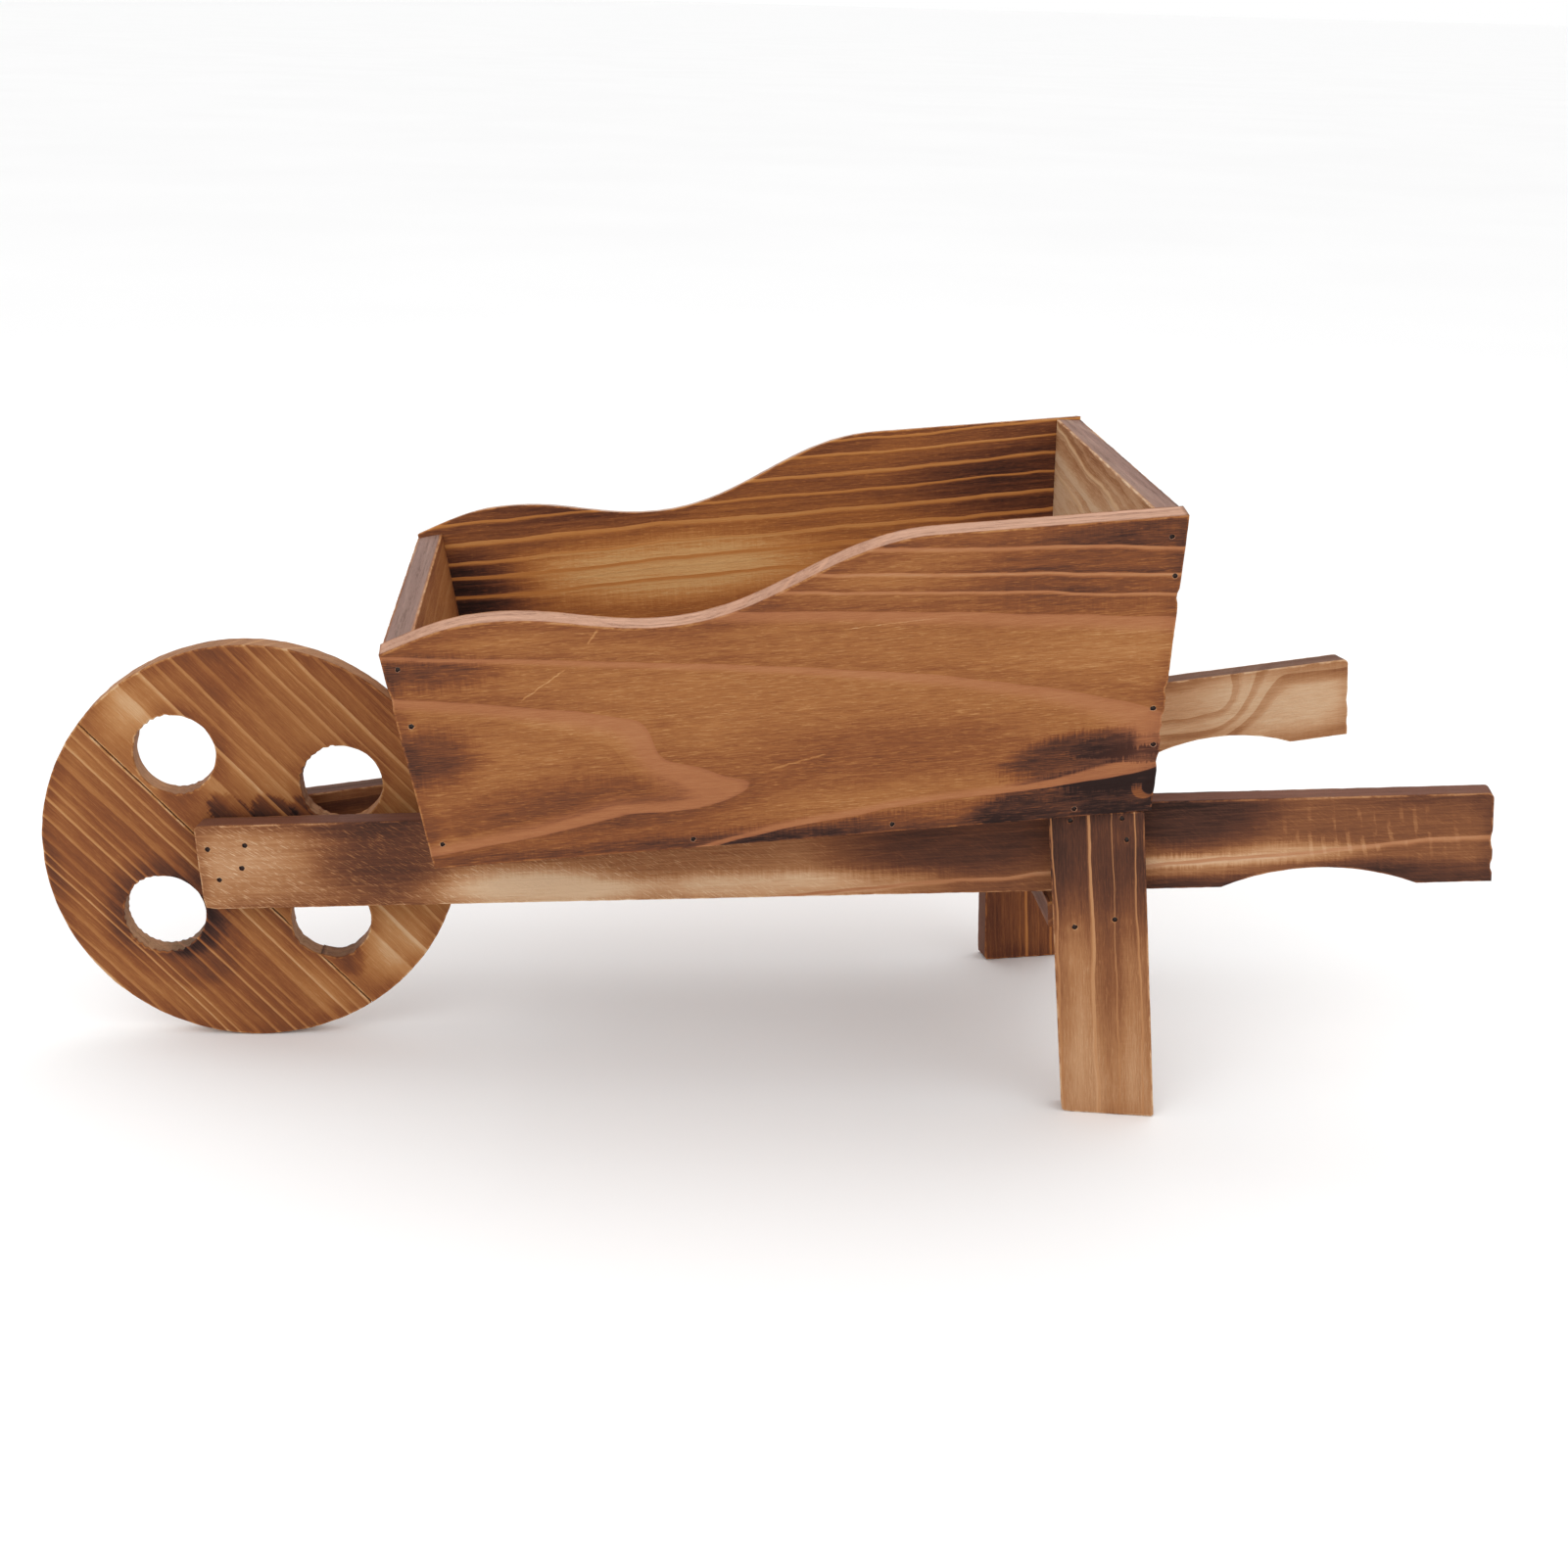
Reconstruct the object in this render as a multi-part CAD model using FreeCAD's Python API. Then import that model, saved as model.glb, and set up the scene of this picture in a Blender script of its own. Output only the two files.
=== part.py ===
import FreeCAD, Part
import math
import os

# Small garden-planter wheelbarrow made of scorched fir boards and wire brads.
#
# The barrow is drawn in its own level frame, then tipped and stood on the ground. In its own
# frame X runs along its middle from the rails' front ends to the grips, Y points to the right
# of a person who pushes it, Z points up, and Z = 0 is the rails' top edges, on which the tray
# stands. Paired pieces are drawn for the right side (+Y) and mirrored for the left one.

# ---- driving dimensions, millimetres and degrees ----
STOCK = 11.5                  # thickness of rails, tray walls, legs, brace and wheel

RAIL_LENGTH = 538.0
RAIL_HEIGHT = 38.0
RAIL_FRONT_GAP = 12.8         # between the rails' inner faces at their front ends
RAIL_SPREAD = 9.6             # each rail turns outwards by this angle
RAIL_PITCH = 4.95             # the rails rise towards the grips by this angle
RAIL_CORNER_RADIUS = 2.5      # eased top corners of a rail's ends
GRIP_START = 430.0            # hollow under each grip, measured along the rail
GRIP_LENGTH = 78.0
GRIP_RISE = 7.6

WHEEL_RADIUS = 89.0
AXLE_SETBACK = 20.0           # axle centre behind the rails' front ends
AXLE_DROP = 14.3              # axle centre below the rails' top edges
AXLE_RADIUS = 10.0
BORE_CLEARANCE = 0.1
WHEEL_CLEARANCE = 1.5         # kept between the wheel and the relief cut in the front board
WHEEL_HOLE_RADIUS = 17.0
WHEEL_HOLES = [(51.0, 127.5), (47.5, 35.0), (47.5, -47.0), (50.0, -140.5)]  # distance, bearing
GLUE_LINE_BEARING = -47.0     # run of the joint between the wheel's two boards
GLUE_LINE_OFFSET = 14.7       # its distance from the axle, on the low front side

TRAY_FRONT = 105.4            # outer bottom edge of the front board
TRAY_LENGTH = 287.0           # outer length of the tray at its bottom
TRAY_HALF_WIDTH = 95.7        # outer half width of the tray at its bottom
SIDE_SPLAY = 8.4
FRONT_LEAN = 6.5
REAR_LEAN = 5.6
FRONT_HEIGHT = 92.2           # heights of the tray's wall above the rails
REAR_HEIGHT = 123.6
CREST = (33.6, 102.0)         # distance behind TRAY_FRONT and height of the waved top edge
TROUGH = (97.6, 94.6)
SHOULDER = (204.6, 123.3)
WAVE_START_SLOPE = 0.36
FLOOR_THICKNESS = 9.0

LEG_WIDTH = 38.5
LEG_FRONT = 360.4             # a leg's front edge, measured along the rail at the rail's top
LEG_BLANK_LENGTH = 160.0      # before the foot is cut level with the ground
LEFT_LEG_LEAN = 0.9           # foot to the rear
RIGHT_LEG_LEAN = -2.9         # foot to the front
BRACE_WIDTH = 38.0
BRACE_FRONT = 352.2
BRACE_BOTTOM = -54.0

BRAD_RADIUS = 0.7
BRAD_HEAD_RADIUS = 1.1
BRAD_HEAD_HEIGHT = 0.8
BRAD_SINK = 1.0               # every head lies this far below the wood's face
LONG_BRAD = 25.0
LEG_BRAD = 20.0
AXLE_BRAD = 19.0
RAIL_END_BRAD = 9.0

# Brad places on a side board: distance behind TRAY_FRONT and height above the rails
FRONT_CORNER_BRADS = [(-3.9, 85.7), (-1.6, 61.9), (4.5, 10.7)]
REAR_CORNER_BRADS = [(292.5, 115.5), (294.0, 99.6), (286.6, 44.9), (287.0, 29.2)]
FLOOR_BRADS = [(102.9, 4.0), (182.3, 3.4), (255.6, 3.6)]
# Brad places on a rail or a leg: distance along the rail and height above its top edge
LEG_BRADS = [(369.2, -3.2), (389.8, -2.8), (391.6, -12.0)]
BRACE_BRADS = [(370.0, -49.4), (386.3, -46.6)]
AXLE_BRADS = [(19.0, -19.4), (21.6, -9.2)]
RAIL_END_BRADS = [(5.1, -10.6), (8.4, -24.5)]
TRAY_BRADS = [150.0, 330.0]   # through the floor into the middle of each rail

RIGHT = 1
LEFT = -1
AMPLE = 1000.0                # longer than anything in the barrow
ORIGIN = FreeCAD.Vector(0, 0, 0)
X_AXIS = FreeCAD.Vector(1, 0, 0)
Y_AXIS = FreeCAD.Vector(0, 1, 0)
Z_AXIS = FreeCAD.Vector(0, 0, 1)


def sine(angle):
    return math.sin(math.radians(angle))


def cosine(angle):
    return math.cos(math.radians(angle))


def tangent(angle):
    return math.tan(math.radians(angle))


# ---- drawing ----
def at(x, z):
    """A point of the XZ plane, in which the boards' outlines are drawn."""
    return FreeCAD.Vector(x, 0, z)


def lines(*points):
    """Straight edges through the points, in order."""
    return [Part.makeLine(start, end) for start, end in zip(points, points[1:])]


def arc(start, middle, end):
    return Part.Arc(start, middle, end).toShape()


def plate(edges, low_y, high_y):
    """A plate with its outline in the XZ plane and its thickness along Y."""
    outline = Part.Face(Part.Wire(edges))
    return outline.extrude(Y_AXIS * (high_y - low_y)).translated(Y_AXIS * low_y)


def placed(shape, placement):
    return shape.transformed(placement.toMatrix(), True)


def mirrored_to(side, shape):
    """The shape itself for the right side, its mirror image for the left one."""
    return shape if side == RIGHT else shape.mirror(ORIGIN, Y_AXIS)


def both_sides(name, shape):
    """The same piece on both sides of the barrow."""
    return {"right_" + name: shape, "left_" + name: mirrored_to(LEFT, shape)}


# ---- where the tilted boards and the ground lie ----
def rail_placement():
    """From a rail's own frame, where Y = 0 is its inner face, to the barrow's frame."""
    return FreeCAD.Placement(Y_AXIS * (RAIL_FRONT_GAP / 2), FreeCAD.Rotation(Z_AXIS, RAIL_SPREAD))


def side_placement():
    """From a side board's own frame, where Y = 0 is its outer face, to the barrow's frame."""
    foot = FreeCAD.Vector(TRAY_FRONT, TRAY_HALF_WIDTH, 0)
    return FreeCAD.Placement(foot, FreeCAD.Rotation(X_AXIS, -SIDE_SPLAY))


def stand_placement():
    """From the barrow's frame to the ground: tipped, on its wheel, centred on its length."""
    tip = FreeCAD.Rotation(Y_AXIS, -RAIL_PITCH)
    axle = tip.multVec(at(AXLE_SETBACK, -AXLE_DROP))
    grip_end = tip.multVec(rail_placement().multVec(at(RAIL_LENGTH, -RAIL_HEIGHT)))
    middle_x = (axle.x - WHEEL_RADIUS + grip_end.x) / 2
    return FreeCAD.Placement(at(-middle_x, WHEEL_RADIUS - axle.z), tip)


def rail_face_y(x, depth):
    """Half width of the barrow, at X, to a rail's face that lies depth outside its inner face."""
    return RAIL_FRONT_GAP / 2 + depth / cosine(RAIL_SPREAD) + x * tangent(RAIL_SPREAD)


def inside_y(z):
    """Half width of the barrow, at Z, to the side boards' inner faces."""
    return TRAY_HALF_WIDTH - STOCK / cosine(SIDE_SPLAY) + z * tangent(SIDE_SPLAY)


# ---- brads ----
def pit():
    """The hole that a sunken head leaves in a wood face at Y = 0."""
    return Part.makeCylinder(BRAD_HEAD_RADIUS, BRAD_SINK, ORIGIN, -Y_AXIS)


def brad(length):
    """A brad driven along -Y through a wood face at Y = 0, with its head sunk."""
    top = Y_AXIS * -BRAD_SINK
    shank = Part.makeCylinder(BRAD_RADIUS, length, top, -Y_AXIS)
    head = Part.makeCylinder(BRAD_HEAD_RADIUS, BRAD_HEAD_HEIGHT, top, -Y_AXIS)
    return shank.fuse(head).removeSplitter()


def repeated(shape, points):
    return Part.makeCompound([shape.translated(point) for point in points])


def on_face(places, face_y):
    """Points at the (x, z) places of a face at the given Y."""
    return [FreeCAD.Vector(x, face_y, z) for x, z in places]


# ---- rails ----
def rail():
    """One rail on edge: square ends, eased top corners and a hollow under the grip."""
    r = RAIL_CORNER_RADIUS
    bulge = r * (1 - math.sqrt(0.5))
    bottom = -RAIL_HEIGHT
    grip_end = GRIP_START + GRIP_LENGTH
    grip_peak = at(GRIP_START + GRIP_LENGTH / 2, bottom + GRIP_RISE)
    edges = [
        arc(at(0, -r), at(bulge, -bulge), at(r, 0)),
        *lines(at(r, 0), at(RAIL_LENGTH - r, 0)),
        arc(at(RAIL_LENGTH - r, 0), at(RAIL_LENGTH - bulge, -bulge), at(RAIL_LENGTH, -r)),
        *lines(at(RAIL_LENGTH, -r), at(RAIL_LENGTH, bottom), at(grip_end, bottom)),
        arc(at(grip_end, bottom), grip_peak, at(GRIP_START, bottom)),
        *lines(at(GRIP_START, bottom), at(0, bottom), at(0, -r)),
    ]
    pits = repeated(pit(), on_face(AXLE_BRADS + RAIL_END_BRADS, STOCK))
    return plate(edges, 0, STOCK).cut(pits)


def rails_and_brads():
    place = rail_placement()
    axle_brads = repeated(brad(AXLE_BRAD), on_face(AXLE_BRADS, STOCK))
    end_brads = repeated(brad(RAIL_END_BRAD), on_face(RAIL_END_BRADS, STOCK))
    pieces = both_sides("rail", placed(rail(), place))
    pieces.update(both_sides("axle_brads", placed(axle_brads, place)))
    pieces.update(both_sides("rail_end_brads", placed(end_brads, place)))
    return pieces


# ---- tray ----
def up_side(place):
    """A point of a side board's outline from its (x, height above the rails)."""
    x, height = place
    return at(x, height / cosine(SIDE_SPLAY))


def wave_edge(start, end, start_slope=0.0):
    """An S-shaped edge that leaves at a slope and arrives level."""
    reach = 0.4 * (end.x - start.x)
    curve = Part.BezierCurve()
    curve.setPoles([start, start + at(reach, reach * start_slope), end - at(reach, 0), end])
    return curve.toShape()


def side_board():
    """One side board with a waved top edge, leaning ends and a bottom cut level."""
    spare = STOCK * sine(SIDE_SPLAY)
    front_top = up_side((-FRONT_HEIGHT * tangent(FRONT_LEAN), FRONT_HEIGHT))
    front_foot = up_side((spare * tangent(FRONT_LEAN), -spare))
    rear_top = up_side((TRAY_LENGTH + REAR_HEIGHT * tangent(REAR_LEAN), REAR_HEIGHT))
    rear_foot = up_side((TRAY_LENGTH - spare * tangent(REAR_LEAN), -spare))
    crest, trough, shoulder = up_side(CREST), up_side(TROUGH), up_side(SHOULDER)
    edges = [
        wave_edge(front_top, crest, WAVE_START_SLOPE),
        wave_edge(crest, trough),
        wave_edge(trough, shoulder),
        *lines(shoulder, rear_top, rear_foot, front_foot, front_top),
    ]
    brad_points = [up_side(place) for place in FRONT_CORNER_BRADS + REAR_CORNER_BRADS + FLOOR_BRADS]
    board = plate(edges, -STOCK, 0).cut(repeated(pit(), brad_points))
    below_rails = Part.makeBox(AMPLE, AMPLE, AMPLE, FreeCAD.Vector(0, 0, -AMPLE))
    return placed(board, side_placement()).cut(below_rails)


def between_sides(height):
    """The space between the side boards' inner faces, longer than the tray."""
    low, high = inside_y(0), inside_y(height)
    corners = [(-low, 0), (low, 0), (high, height), (-high, height), (-low, 0)]
    section = Part.Face(Part.makePolygon([FreeCAD.Vector(0, y, z) for y, z in corners]))
    return section.extrude(X_AXIS * AMPLE)


def end_board(foot_x, height, lean, inward):
    """A leaning end board: foot_x is its outer bottom edge, and inward is +1 or -1."""
    outer_foot = at(foot_x, 0)
    outer_top = at(foot_x - inward * height * tangent(lean), height)
    inner_top = outer_top + at(inward * STOCK * cosine(lean), STOCK * sine(lean))
    inner_foot = at(foot_x + inward * STOCK / cosine(lean), 0)
    edges = lines(outer_foot, outer_top, inner_top, inner_foot, outer_foot)
    return plate(edges, -AMPLE / 2, AMPLE / 2).common(between_sides(2 * height))


def floor_board():
    """The tray's floor, let in between its four walls, flush with their bottoms."""
    top = FLOOR_THICKNESS
    front = TRAY_FRONT + STOCK / cosine(FRONT_LEAN)
    rear = TRAY_FRONT + TRAY_LENGTH - STOCK / cosine(REAR_LEAN)
    front_top = at(front - top * tangent(FRONT_LEAN), top)
    rear_top = at(rear + top * tangent(REAR_LEAN), top)
    edges = lines(at(front, 0), front_top, rear_top, at(rear, 0), at(front, 0))
    board = plate(edges, -AMPLE / 2, AMPLE / 2).common(between_sides(2 * top))
    drop = FreeCAD.Rotation(X_AXIS, 90)
    pits = placed(pit(), FreeCAD.Placement(ORIGIN, drop))
    return board.cut(repeated(pits, tray_brad_points()))


def tray_brad_points():
    """Points of the floor's upper face above the middle of each rail."""
    points = []
    for x in TRAY_BRADS:
        y = rail_face_y(x, STOCK / 2)
        points += [FreeCAD.Vector(x, y, FLOOR_THICKNESS), FreeCAD.Vector(x, -y, FLOOR_THICKNESS)]
    return points


def wheel_relief():
    """The space that the turning wheel needs, which the front board's lower edge gives up."""
    half_width = STOCK / 2 + WHEEL_CLEARANCE
    start = FreeCAD.Vector(AXLE_SETBACK, -half_width, -AXLE_DROP)
    return Part.makeCylinder(WHEEL_RADIUS + WHEEL_CLEARANCE, 2 * half_width, start, Y_AXIS)


def tray_and_brads():
    tray_rear = TRAY_FRONT + TRAY_LENGTH
    long_brad = brad(LONG_BRAD)
    pieces = both_sides("side_board", side_board())
    pieces["front_board"] = end_board(TRAY_FRONT, FRONT_HEIGHT, FRONT_LEAN, 1).cut(wheel_relief())
    pieces["rear_board"] = end_board(tray_rear, REAR_HEIGHT, REAR_LEAN, -1)
    pieces["floor_board"] = floor_board()
    groups = {
        "front_corner_brads": FRONT_CORNER_BRADS,
        "rear_corner_brads": REAR_CORNER_BRADS,
        "floor_brads": FLOOR_BRADS,
    }
    for name, places in groups.items():
        group = repeated(long_brad, [up_side(place) for place in places])
        pieces.update(both_sides(name, placed(group, side_placement())))
    downward = placed(long_brad, FreeCAD.Placement(ORIGIN, FreeCAD.Rotation(X_AXIS, 90)))
    pieces["tray_to_rail_brads"] = repeated(downward, tray_brad_points())
    return pieces


# ---- legs ----
def leg(lean):
    """One leg, in its rail's own frame, with its foot left long."""
    drift = LEG_BLANK_LENGTH * tangent(lean)
    front_top, rear_top = at(LEG_FRONT, 0), at(LEG_FRONT + LEG_WIDTH, 0)
    foot = at(drift, -LEG_BLANK_LENGTH)
    edges = lines(front_top, rear_top, rear_top + foot, front_top + foot, front_top)
    pits = repeated(pit(), on_face(LEG_BRADS + BRACE_BRADS, 2 * STOCK))
    return plate(edges, STOCK, 2 * STOCK).cut(pits)


def leg_brace():
    """The flat board between the legs; its ends follow the legs' inner faces."""
    rear = BRACE_FRONT + BRACE_WIDTH
    front_y, rear_y = rail_face_y(BRACE_FRONT, STOCK), rail_face_y(rear, STOCK)
    corners = [(BRACE_FRONT, -front_y), (rear, -rear_y), (rear, rear_y), (BRACE_FRONT, front_y)]
    points = [FreeCAD.Vector(x, y, BRACE_BOTTOM) for x, y in corners + corners[:1]]
    return Part.Face(Part.makePolygon(points)).extrude(Z_AXIS * STOCK)


def legs_and_brads():
    place = rail_placement()
    below_ground = Part.makeBox(2 * AMPLE, 2 * AMPLE, AMPLE, FreeCAD.Vector(-AMPLE, -AMPLE, -AMPLE))
    below_ground = placed(below_ground, stand_placement().inverse())
    pieces = {"leg_brace": leg_brace()}
    for name, side, lean in (("left_leg", LEFT, LEFT_LEG_LEAN), ("right_leg", RIGHT, RIGHT_LEG_LEAN)):
        pieces[name] = mirrored_to(side, placed(leg(lean), place)).cut(below_ground)
    leg_brads = repeated(brad(LEG_BRAD), on_face(LEG_BRADS, 2 * STOCK))
    brace_brads = repeated(brad(LONG_BRAD), on_face(BRACE_BRADS, 2 * STOCK))
    pieces.update(both_sides("leg_brads", placed(leg_brads, place)))
    pieces.update(both_sides("brace_brads", placed(brace_brads, place)))
    return pieces


# ---- wheel and axle ----
def axle_dowel():
    """The dowel between the rails, its ends cut to their inner faces."""
    front, rear = AXLE_SETBACK - AXLE_RADIUS, AXLE_SETBACK + AXLE_RADIUS
    front_y, rear_y = rail_face_y(front, 0), rail_face_y(rear, 0)
    corners = [(front, -front_y), (rear, -rear_y), (rear, rear_y), (front, front_y)]
    points = [FreeCAD.Vector(x, y, -RAIL_HEIGHT) for x, y in corners + corners[:1]]
    between_rails = Part.Face(Part.makePolygon(points)).extrude(Z_AXIS * RAIL_HEIGHT)
    start = FreeCAD.Vector(AXLE_SETBACK, -AMPLE / 2, -AXLE_DROP)
    return Part.makeCylinder(AXLE_RADIUS, AMPLE, start, Y_AXIS).common(between_rails)


def wheel_disc():
    """The whole wheel about the Y axis, with its bore and its four round holes."""
    def drill(radius, centre):
        return Part.makeCylinder(radius, 2 * STOCK, centre - Y_AXIS * STOCK, Y_AXIS)

    disc = Part.makeCylinder(WHEEL_RADIUS, STOCK, Y_AXIS * (-STOCK / 2), Y_AXIS)
    drills = [drill(AXLE_RADIUS + BORE_CLEARANCE, ORIGIN)]
    for distance, bearing in WHEEL_HOLES:
        centre = at(distance * cosine(bearing), distance * sine(bearing))
        drills.append(drill(WHEEL_HOLE_RADIUS, centre))
    return disc.cut(Part.makeCompound(drills))


def wheel_boards():
    """The wheel's two boards, which meet edge to edge on the glue line."""
    below_line = Part.makeBox(AMPLE, AMPLE, AMPLE, FreeCAD.Vector(-AMPLE / 2, -AMPLE / 2, -AMPLE))
    below_line.translate(Z_AXIS * -GLUE_LINE_OFFSET)
    below_line = placed(below_line, FreeCAD.Placement(ORIGIN, FreeCAD.Rotation(Y_AXIS, -GLUE_LINE_BEARING)))
    disc = wheel_disc()
    return {"wheel_main_board": disc.cut(below_line), "wheel_edge_board": disc.common(below_line)}


# ---- the whole barrow ----
def stood_barrow():
    stand = stand_placement()
    barrow = {"axle_dowel": axle_dowel()}
    barrow.update(rails_and_brads())
    barrow.update(tray_and_brads())
    barrow.update(legs_and_brads())
    pieces = {name: placed(shape, stand) for name, shape in barrow.items()}
    axle_centre = stand.multVec(at(AXLE_SETBACK, -AXLE_DROP))
    for name, shape in wheel_boards().items():
        pieces[name] = shape.translated(axle_centre)
    return pieces


os.makedirs("parts", exist_ok=True)
for name, shape in stood_barrow().items():
    shape.exportStep(f"parts/{name}.step")
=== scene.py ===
import math
from collections.abc import Sequence
from dataclasses import dataclass

import bmesh
import bpy
from mathutils import Matrix, Vector, kdtree, noise
from mathutils.geometry import delaunay_2d_cdt


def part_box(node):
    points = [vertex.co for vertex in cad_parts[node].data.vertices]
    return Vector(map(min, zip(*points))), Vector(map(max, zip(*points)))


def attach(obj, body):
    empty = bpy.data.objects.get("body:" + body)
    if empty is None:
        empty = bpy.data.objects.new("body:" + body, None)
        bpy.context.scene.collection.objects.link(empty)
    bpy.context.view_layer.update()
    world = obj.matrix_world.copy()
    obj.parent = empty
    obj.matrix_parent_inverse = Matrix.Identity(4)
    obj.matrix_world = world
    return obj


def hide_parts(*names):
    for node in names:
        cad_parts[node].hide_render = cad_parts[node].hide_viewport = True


# Small garden-planter wheelbarrow of scorched and brushed fir. Every board is rebuilt as a mesh
# with worn arrises, sawn ends and nail pits, and is painted by a procedural wood of its own.
# The brads and the axle dowel keep their CAD meshes and get materials.
#
# Boards are drawn in millimetres in their own frames: x along the board, z across it, and y from
# 0 on its outer face down to minus its thickness. A place function takes that to the barrow's
# own level frame, and the stand matrix takes the barrow to the ground.

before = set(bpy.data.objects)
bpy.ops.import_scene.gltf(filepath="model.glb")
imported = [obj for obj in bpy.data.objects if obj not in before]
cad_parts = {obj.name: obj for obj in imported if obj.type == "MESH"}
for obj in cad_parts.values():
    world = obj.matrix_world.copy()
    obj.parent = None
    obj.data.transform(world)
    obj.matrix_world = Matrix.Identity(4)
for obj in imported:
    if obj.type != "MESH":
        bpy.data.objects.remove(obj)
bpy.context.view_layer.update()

# ---- the CAD model's dimensions, millimetres and degrees ----
STOCK = 11.5
RAIL_LENGTH = 538.0
RAIL_HEIGHT = 38.0
RAIL_FRONT_GAP = 12.8
RAIL_SPREAD = 9.6
RAIL_PITCH = 4.95
RAIL_CORNER_RADIUS = 2.5
GRIP_START = 430.0
GRIP_LENGTH = 78.0
GRIP_RISE = 7.6
WHEEL_RADIUS = 89.0
AXLE_SETBACK = 20.0
AXLE_DROP = 14.3
AXLE_RADIUS = 10.0
BORE_CLEARANCE = 0.1
WHEEL_CLEARANCE = 1.5
WHEEL_HOLE_RADIUS = 17.0
WHEEL_HOLES = [(51.0, 127.5), (47.5, 35.0), (47.5, -47.0), (50.0, -140.5)]  # distances and bearings
GLUE_LINE_BEARING = -47.0
GLUE_LINE_OFFSET = 14.7
TRAY_FRONT = 105.4
TRAY_LENGTH = 287.0
TRAY_HALF_WIDTH = 95.7
SIDE_SPLAY = 8.4
FRONT_LEAN = 6.5
REAR_LEAN = 5.6
FRONT_HEIGHT = 92.2
REAR_HEIGHT = 123.6
CREST = (33.6, 102.0)
TROUGH = (97.6, 94.6)
SHOULDER = (204.6, 123.3)
WAVE_START_SLOPE = 0.36
FLOOR_THICKNESS = 9.0
LEG_WIDTH = 38.5
LEG_FRONT = 360.4
LEFT_LEG_LEAN = 0.9
RIGHT_LEG_LEAN = -2.9
BRACE_WIDTH = 38.0
BRACE_FRONT = 352.2
BRACE_BOTTOM = -54.0
FRONT_CORNER_BRADS = [(-3.9, 85.7), (-1.6, 61.9), (4.5, 10.7)]
REAR_CORNER_BRADS = [(292.5, 115.5), (294.0, 99.6), (286.6, 44.9), (287.0, 29.2)]
FLOOR_BRADS = [(102.9, 4.0), (182.3, 3.4), (255.6, 3.6)]
LEG_BRADS = [(369.2, -3.2), (389.8, -2.8), (391.6, -12.0)]
BRACE_BRADS = [(370.0, -49.4), (386.3, -46.6)]
AXLE_BRADS = [(19.0, -19.4), (21.6, -9.2)]
RAIL_END_BRADS = [(5.1, -10.6), (8.4, -24.5)]

RIGHT = 1
LEFT = -1
MM = 0.001

# ---- how the meshes are cut up and worn, millimetres ----
EDGE_STEP = 2.0  # between points along an outline
FACE_STEP = 6.0  # between points inside a face
ARRIS = 0.45  # usual radius of a worn edge
ARRIS_RANGE = (0.2, 0.8)  # least and greatest radius
CUFF = 1.5  # an edge looks fully sawn this far in from the faces
FACE_SINK = 0.06  # faces lie about this far below true
EDGE_BAND = 0.9  # width of the strip beside an edge that wear can reach
PIT_DEPTH = 1.9  # reaches a little below the top of a sunken brad head
PIT_RING = 1.5  # outer radius of the torn wood round a pit
PIT_POINTS = 10  # round each of a pit's rings
TIP_REACH = 5.5  # wear fades out this near a board's acute tips
TEAR_STEP = 3.1  # between the splinters torn from the wheel's holes
TEAR_REACH = 1.5  # half the width of one
TEAR_DEPTH = 1.5  # of the deepest
LEVEL_HEIGHT = 30.0  # a leaning board's level lower edge is blended in up to here
RELIEF_STEP = 1.8  # between the front board's extra rows of points beside the wheel
RELIEF_ROWS = 13
CUT_FACE = 0.0  # values of the points' "cut" attribute
CUT_SAWN = 1.0
CUT_PIT = 2.0


def sine(angle):
    return math.sin(math.radians(angle))


def cosine(angle):
    return math.cos(math.radians(angle))


def tangent(angle):
    return math.tan(math.radians(angle))


def sided(side, name):
    return ("left_" if side == LEFT else "right_") + name


def wander(x, y, z, size, seed):
    """Smooth noise between -1 and 1 that changes over about size millimetres."""
    return noise.noise(Vector((x, y, z)) / size + Vector((seed * 7.31, seed * 3.17, seed * 5.73)))


# ---- from each board's frame to the barrow's frame ----
def rail_place(side, outer_depth):
    """For boards on a rail: outer_depth is the outer face's distance from the rail's inner face."""
    def place(point):
        x, y, z = point
        depth = outer_depth + y
        along = x * cosine(RAIL_SPREAD) - depth * sine(RAIL_SPREAD)
        out = RAIL_FRONT_GAP / 2 + x * sine(RAIL_SPREAD) + depth * cosine(RAIL_SPREAD)
        return Vector((along, side * out, z))
    return place


def level_cut(z, y, lean):
    """Height on a leaning board whose lower edge is cut level, y being minus the depth."""
    return z + y * tangent(lean) * max(0.0, 1 - z / LEVEL_HEIGHT)


def side_place(side):
    def place(point):
        x, y, z = point
        z = level_cut(z, y, SIDE_SPLAY)
        out = TRAY_HALF_WIDTH + y * cosine(SIDE_SPLAY) + z * sine(SIDE_SPLAY)
        return Vector((TRAY_FRONT + x, side * out, z * cosine(SIDE_SPLAY) - y * sine(SIDE_SPLAY)))
    return place


def inside_y(z):
    """Half width of the tray, at Z, to the side boards' inner faces."""
    return TRAY_HALF_WIDTH - STOCK / cosine(SIDE_SPLAY) + z * tangent(SIDE_SPLAY)


def end_place(foot_x, lean, inward, half_length):
    """For an end board that leans outwards, drawn half_length long each way from its middle."""
    def place(point):
        a, y, s = point
        s = level_cut(s, y, lean)
        x = foot_x - inward * (s * sine(lean) + y * cosine(lean))
        z = s * cosine(lean) - y * sine(lean)
        return Vector((x, a / half_length * inside_y(z), z))
    return place


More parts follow.
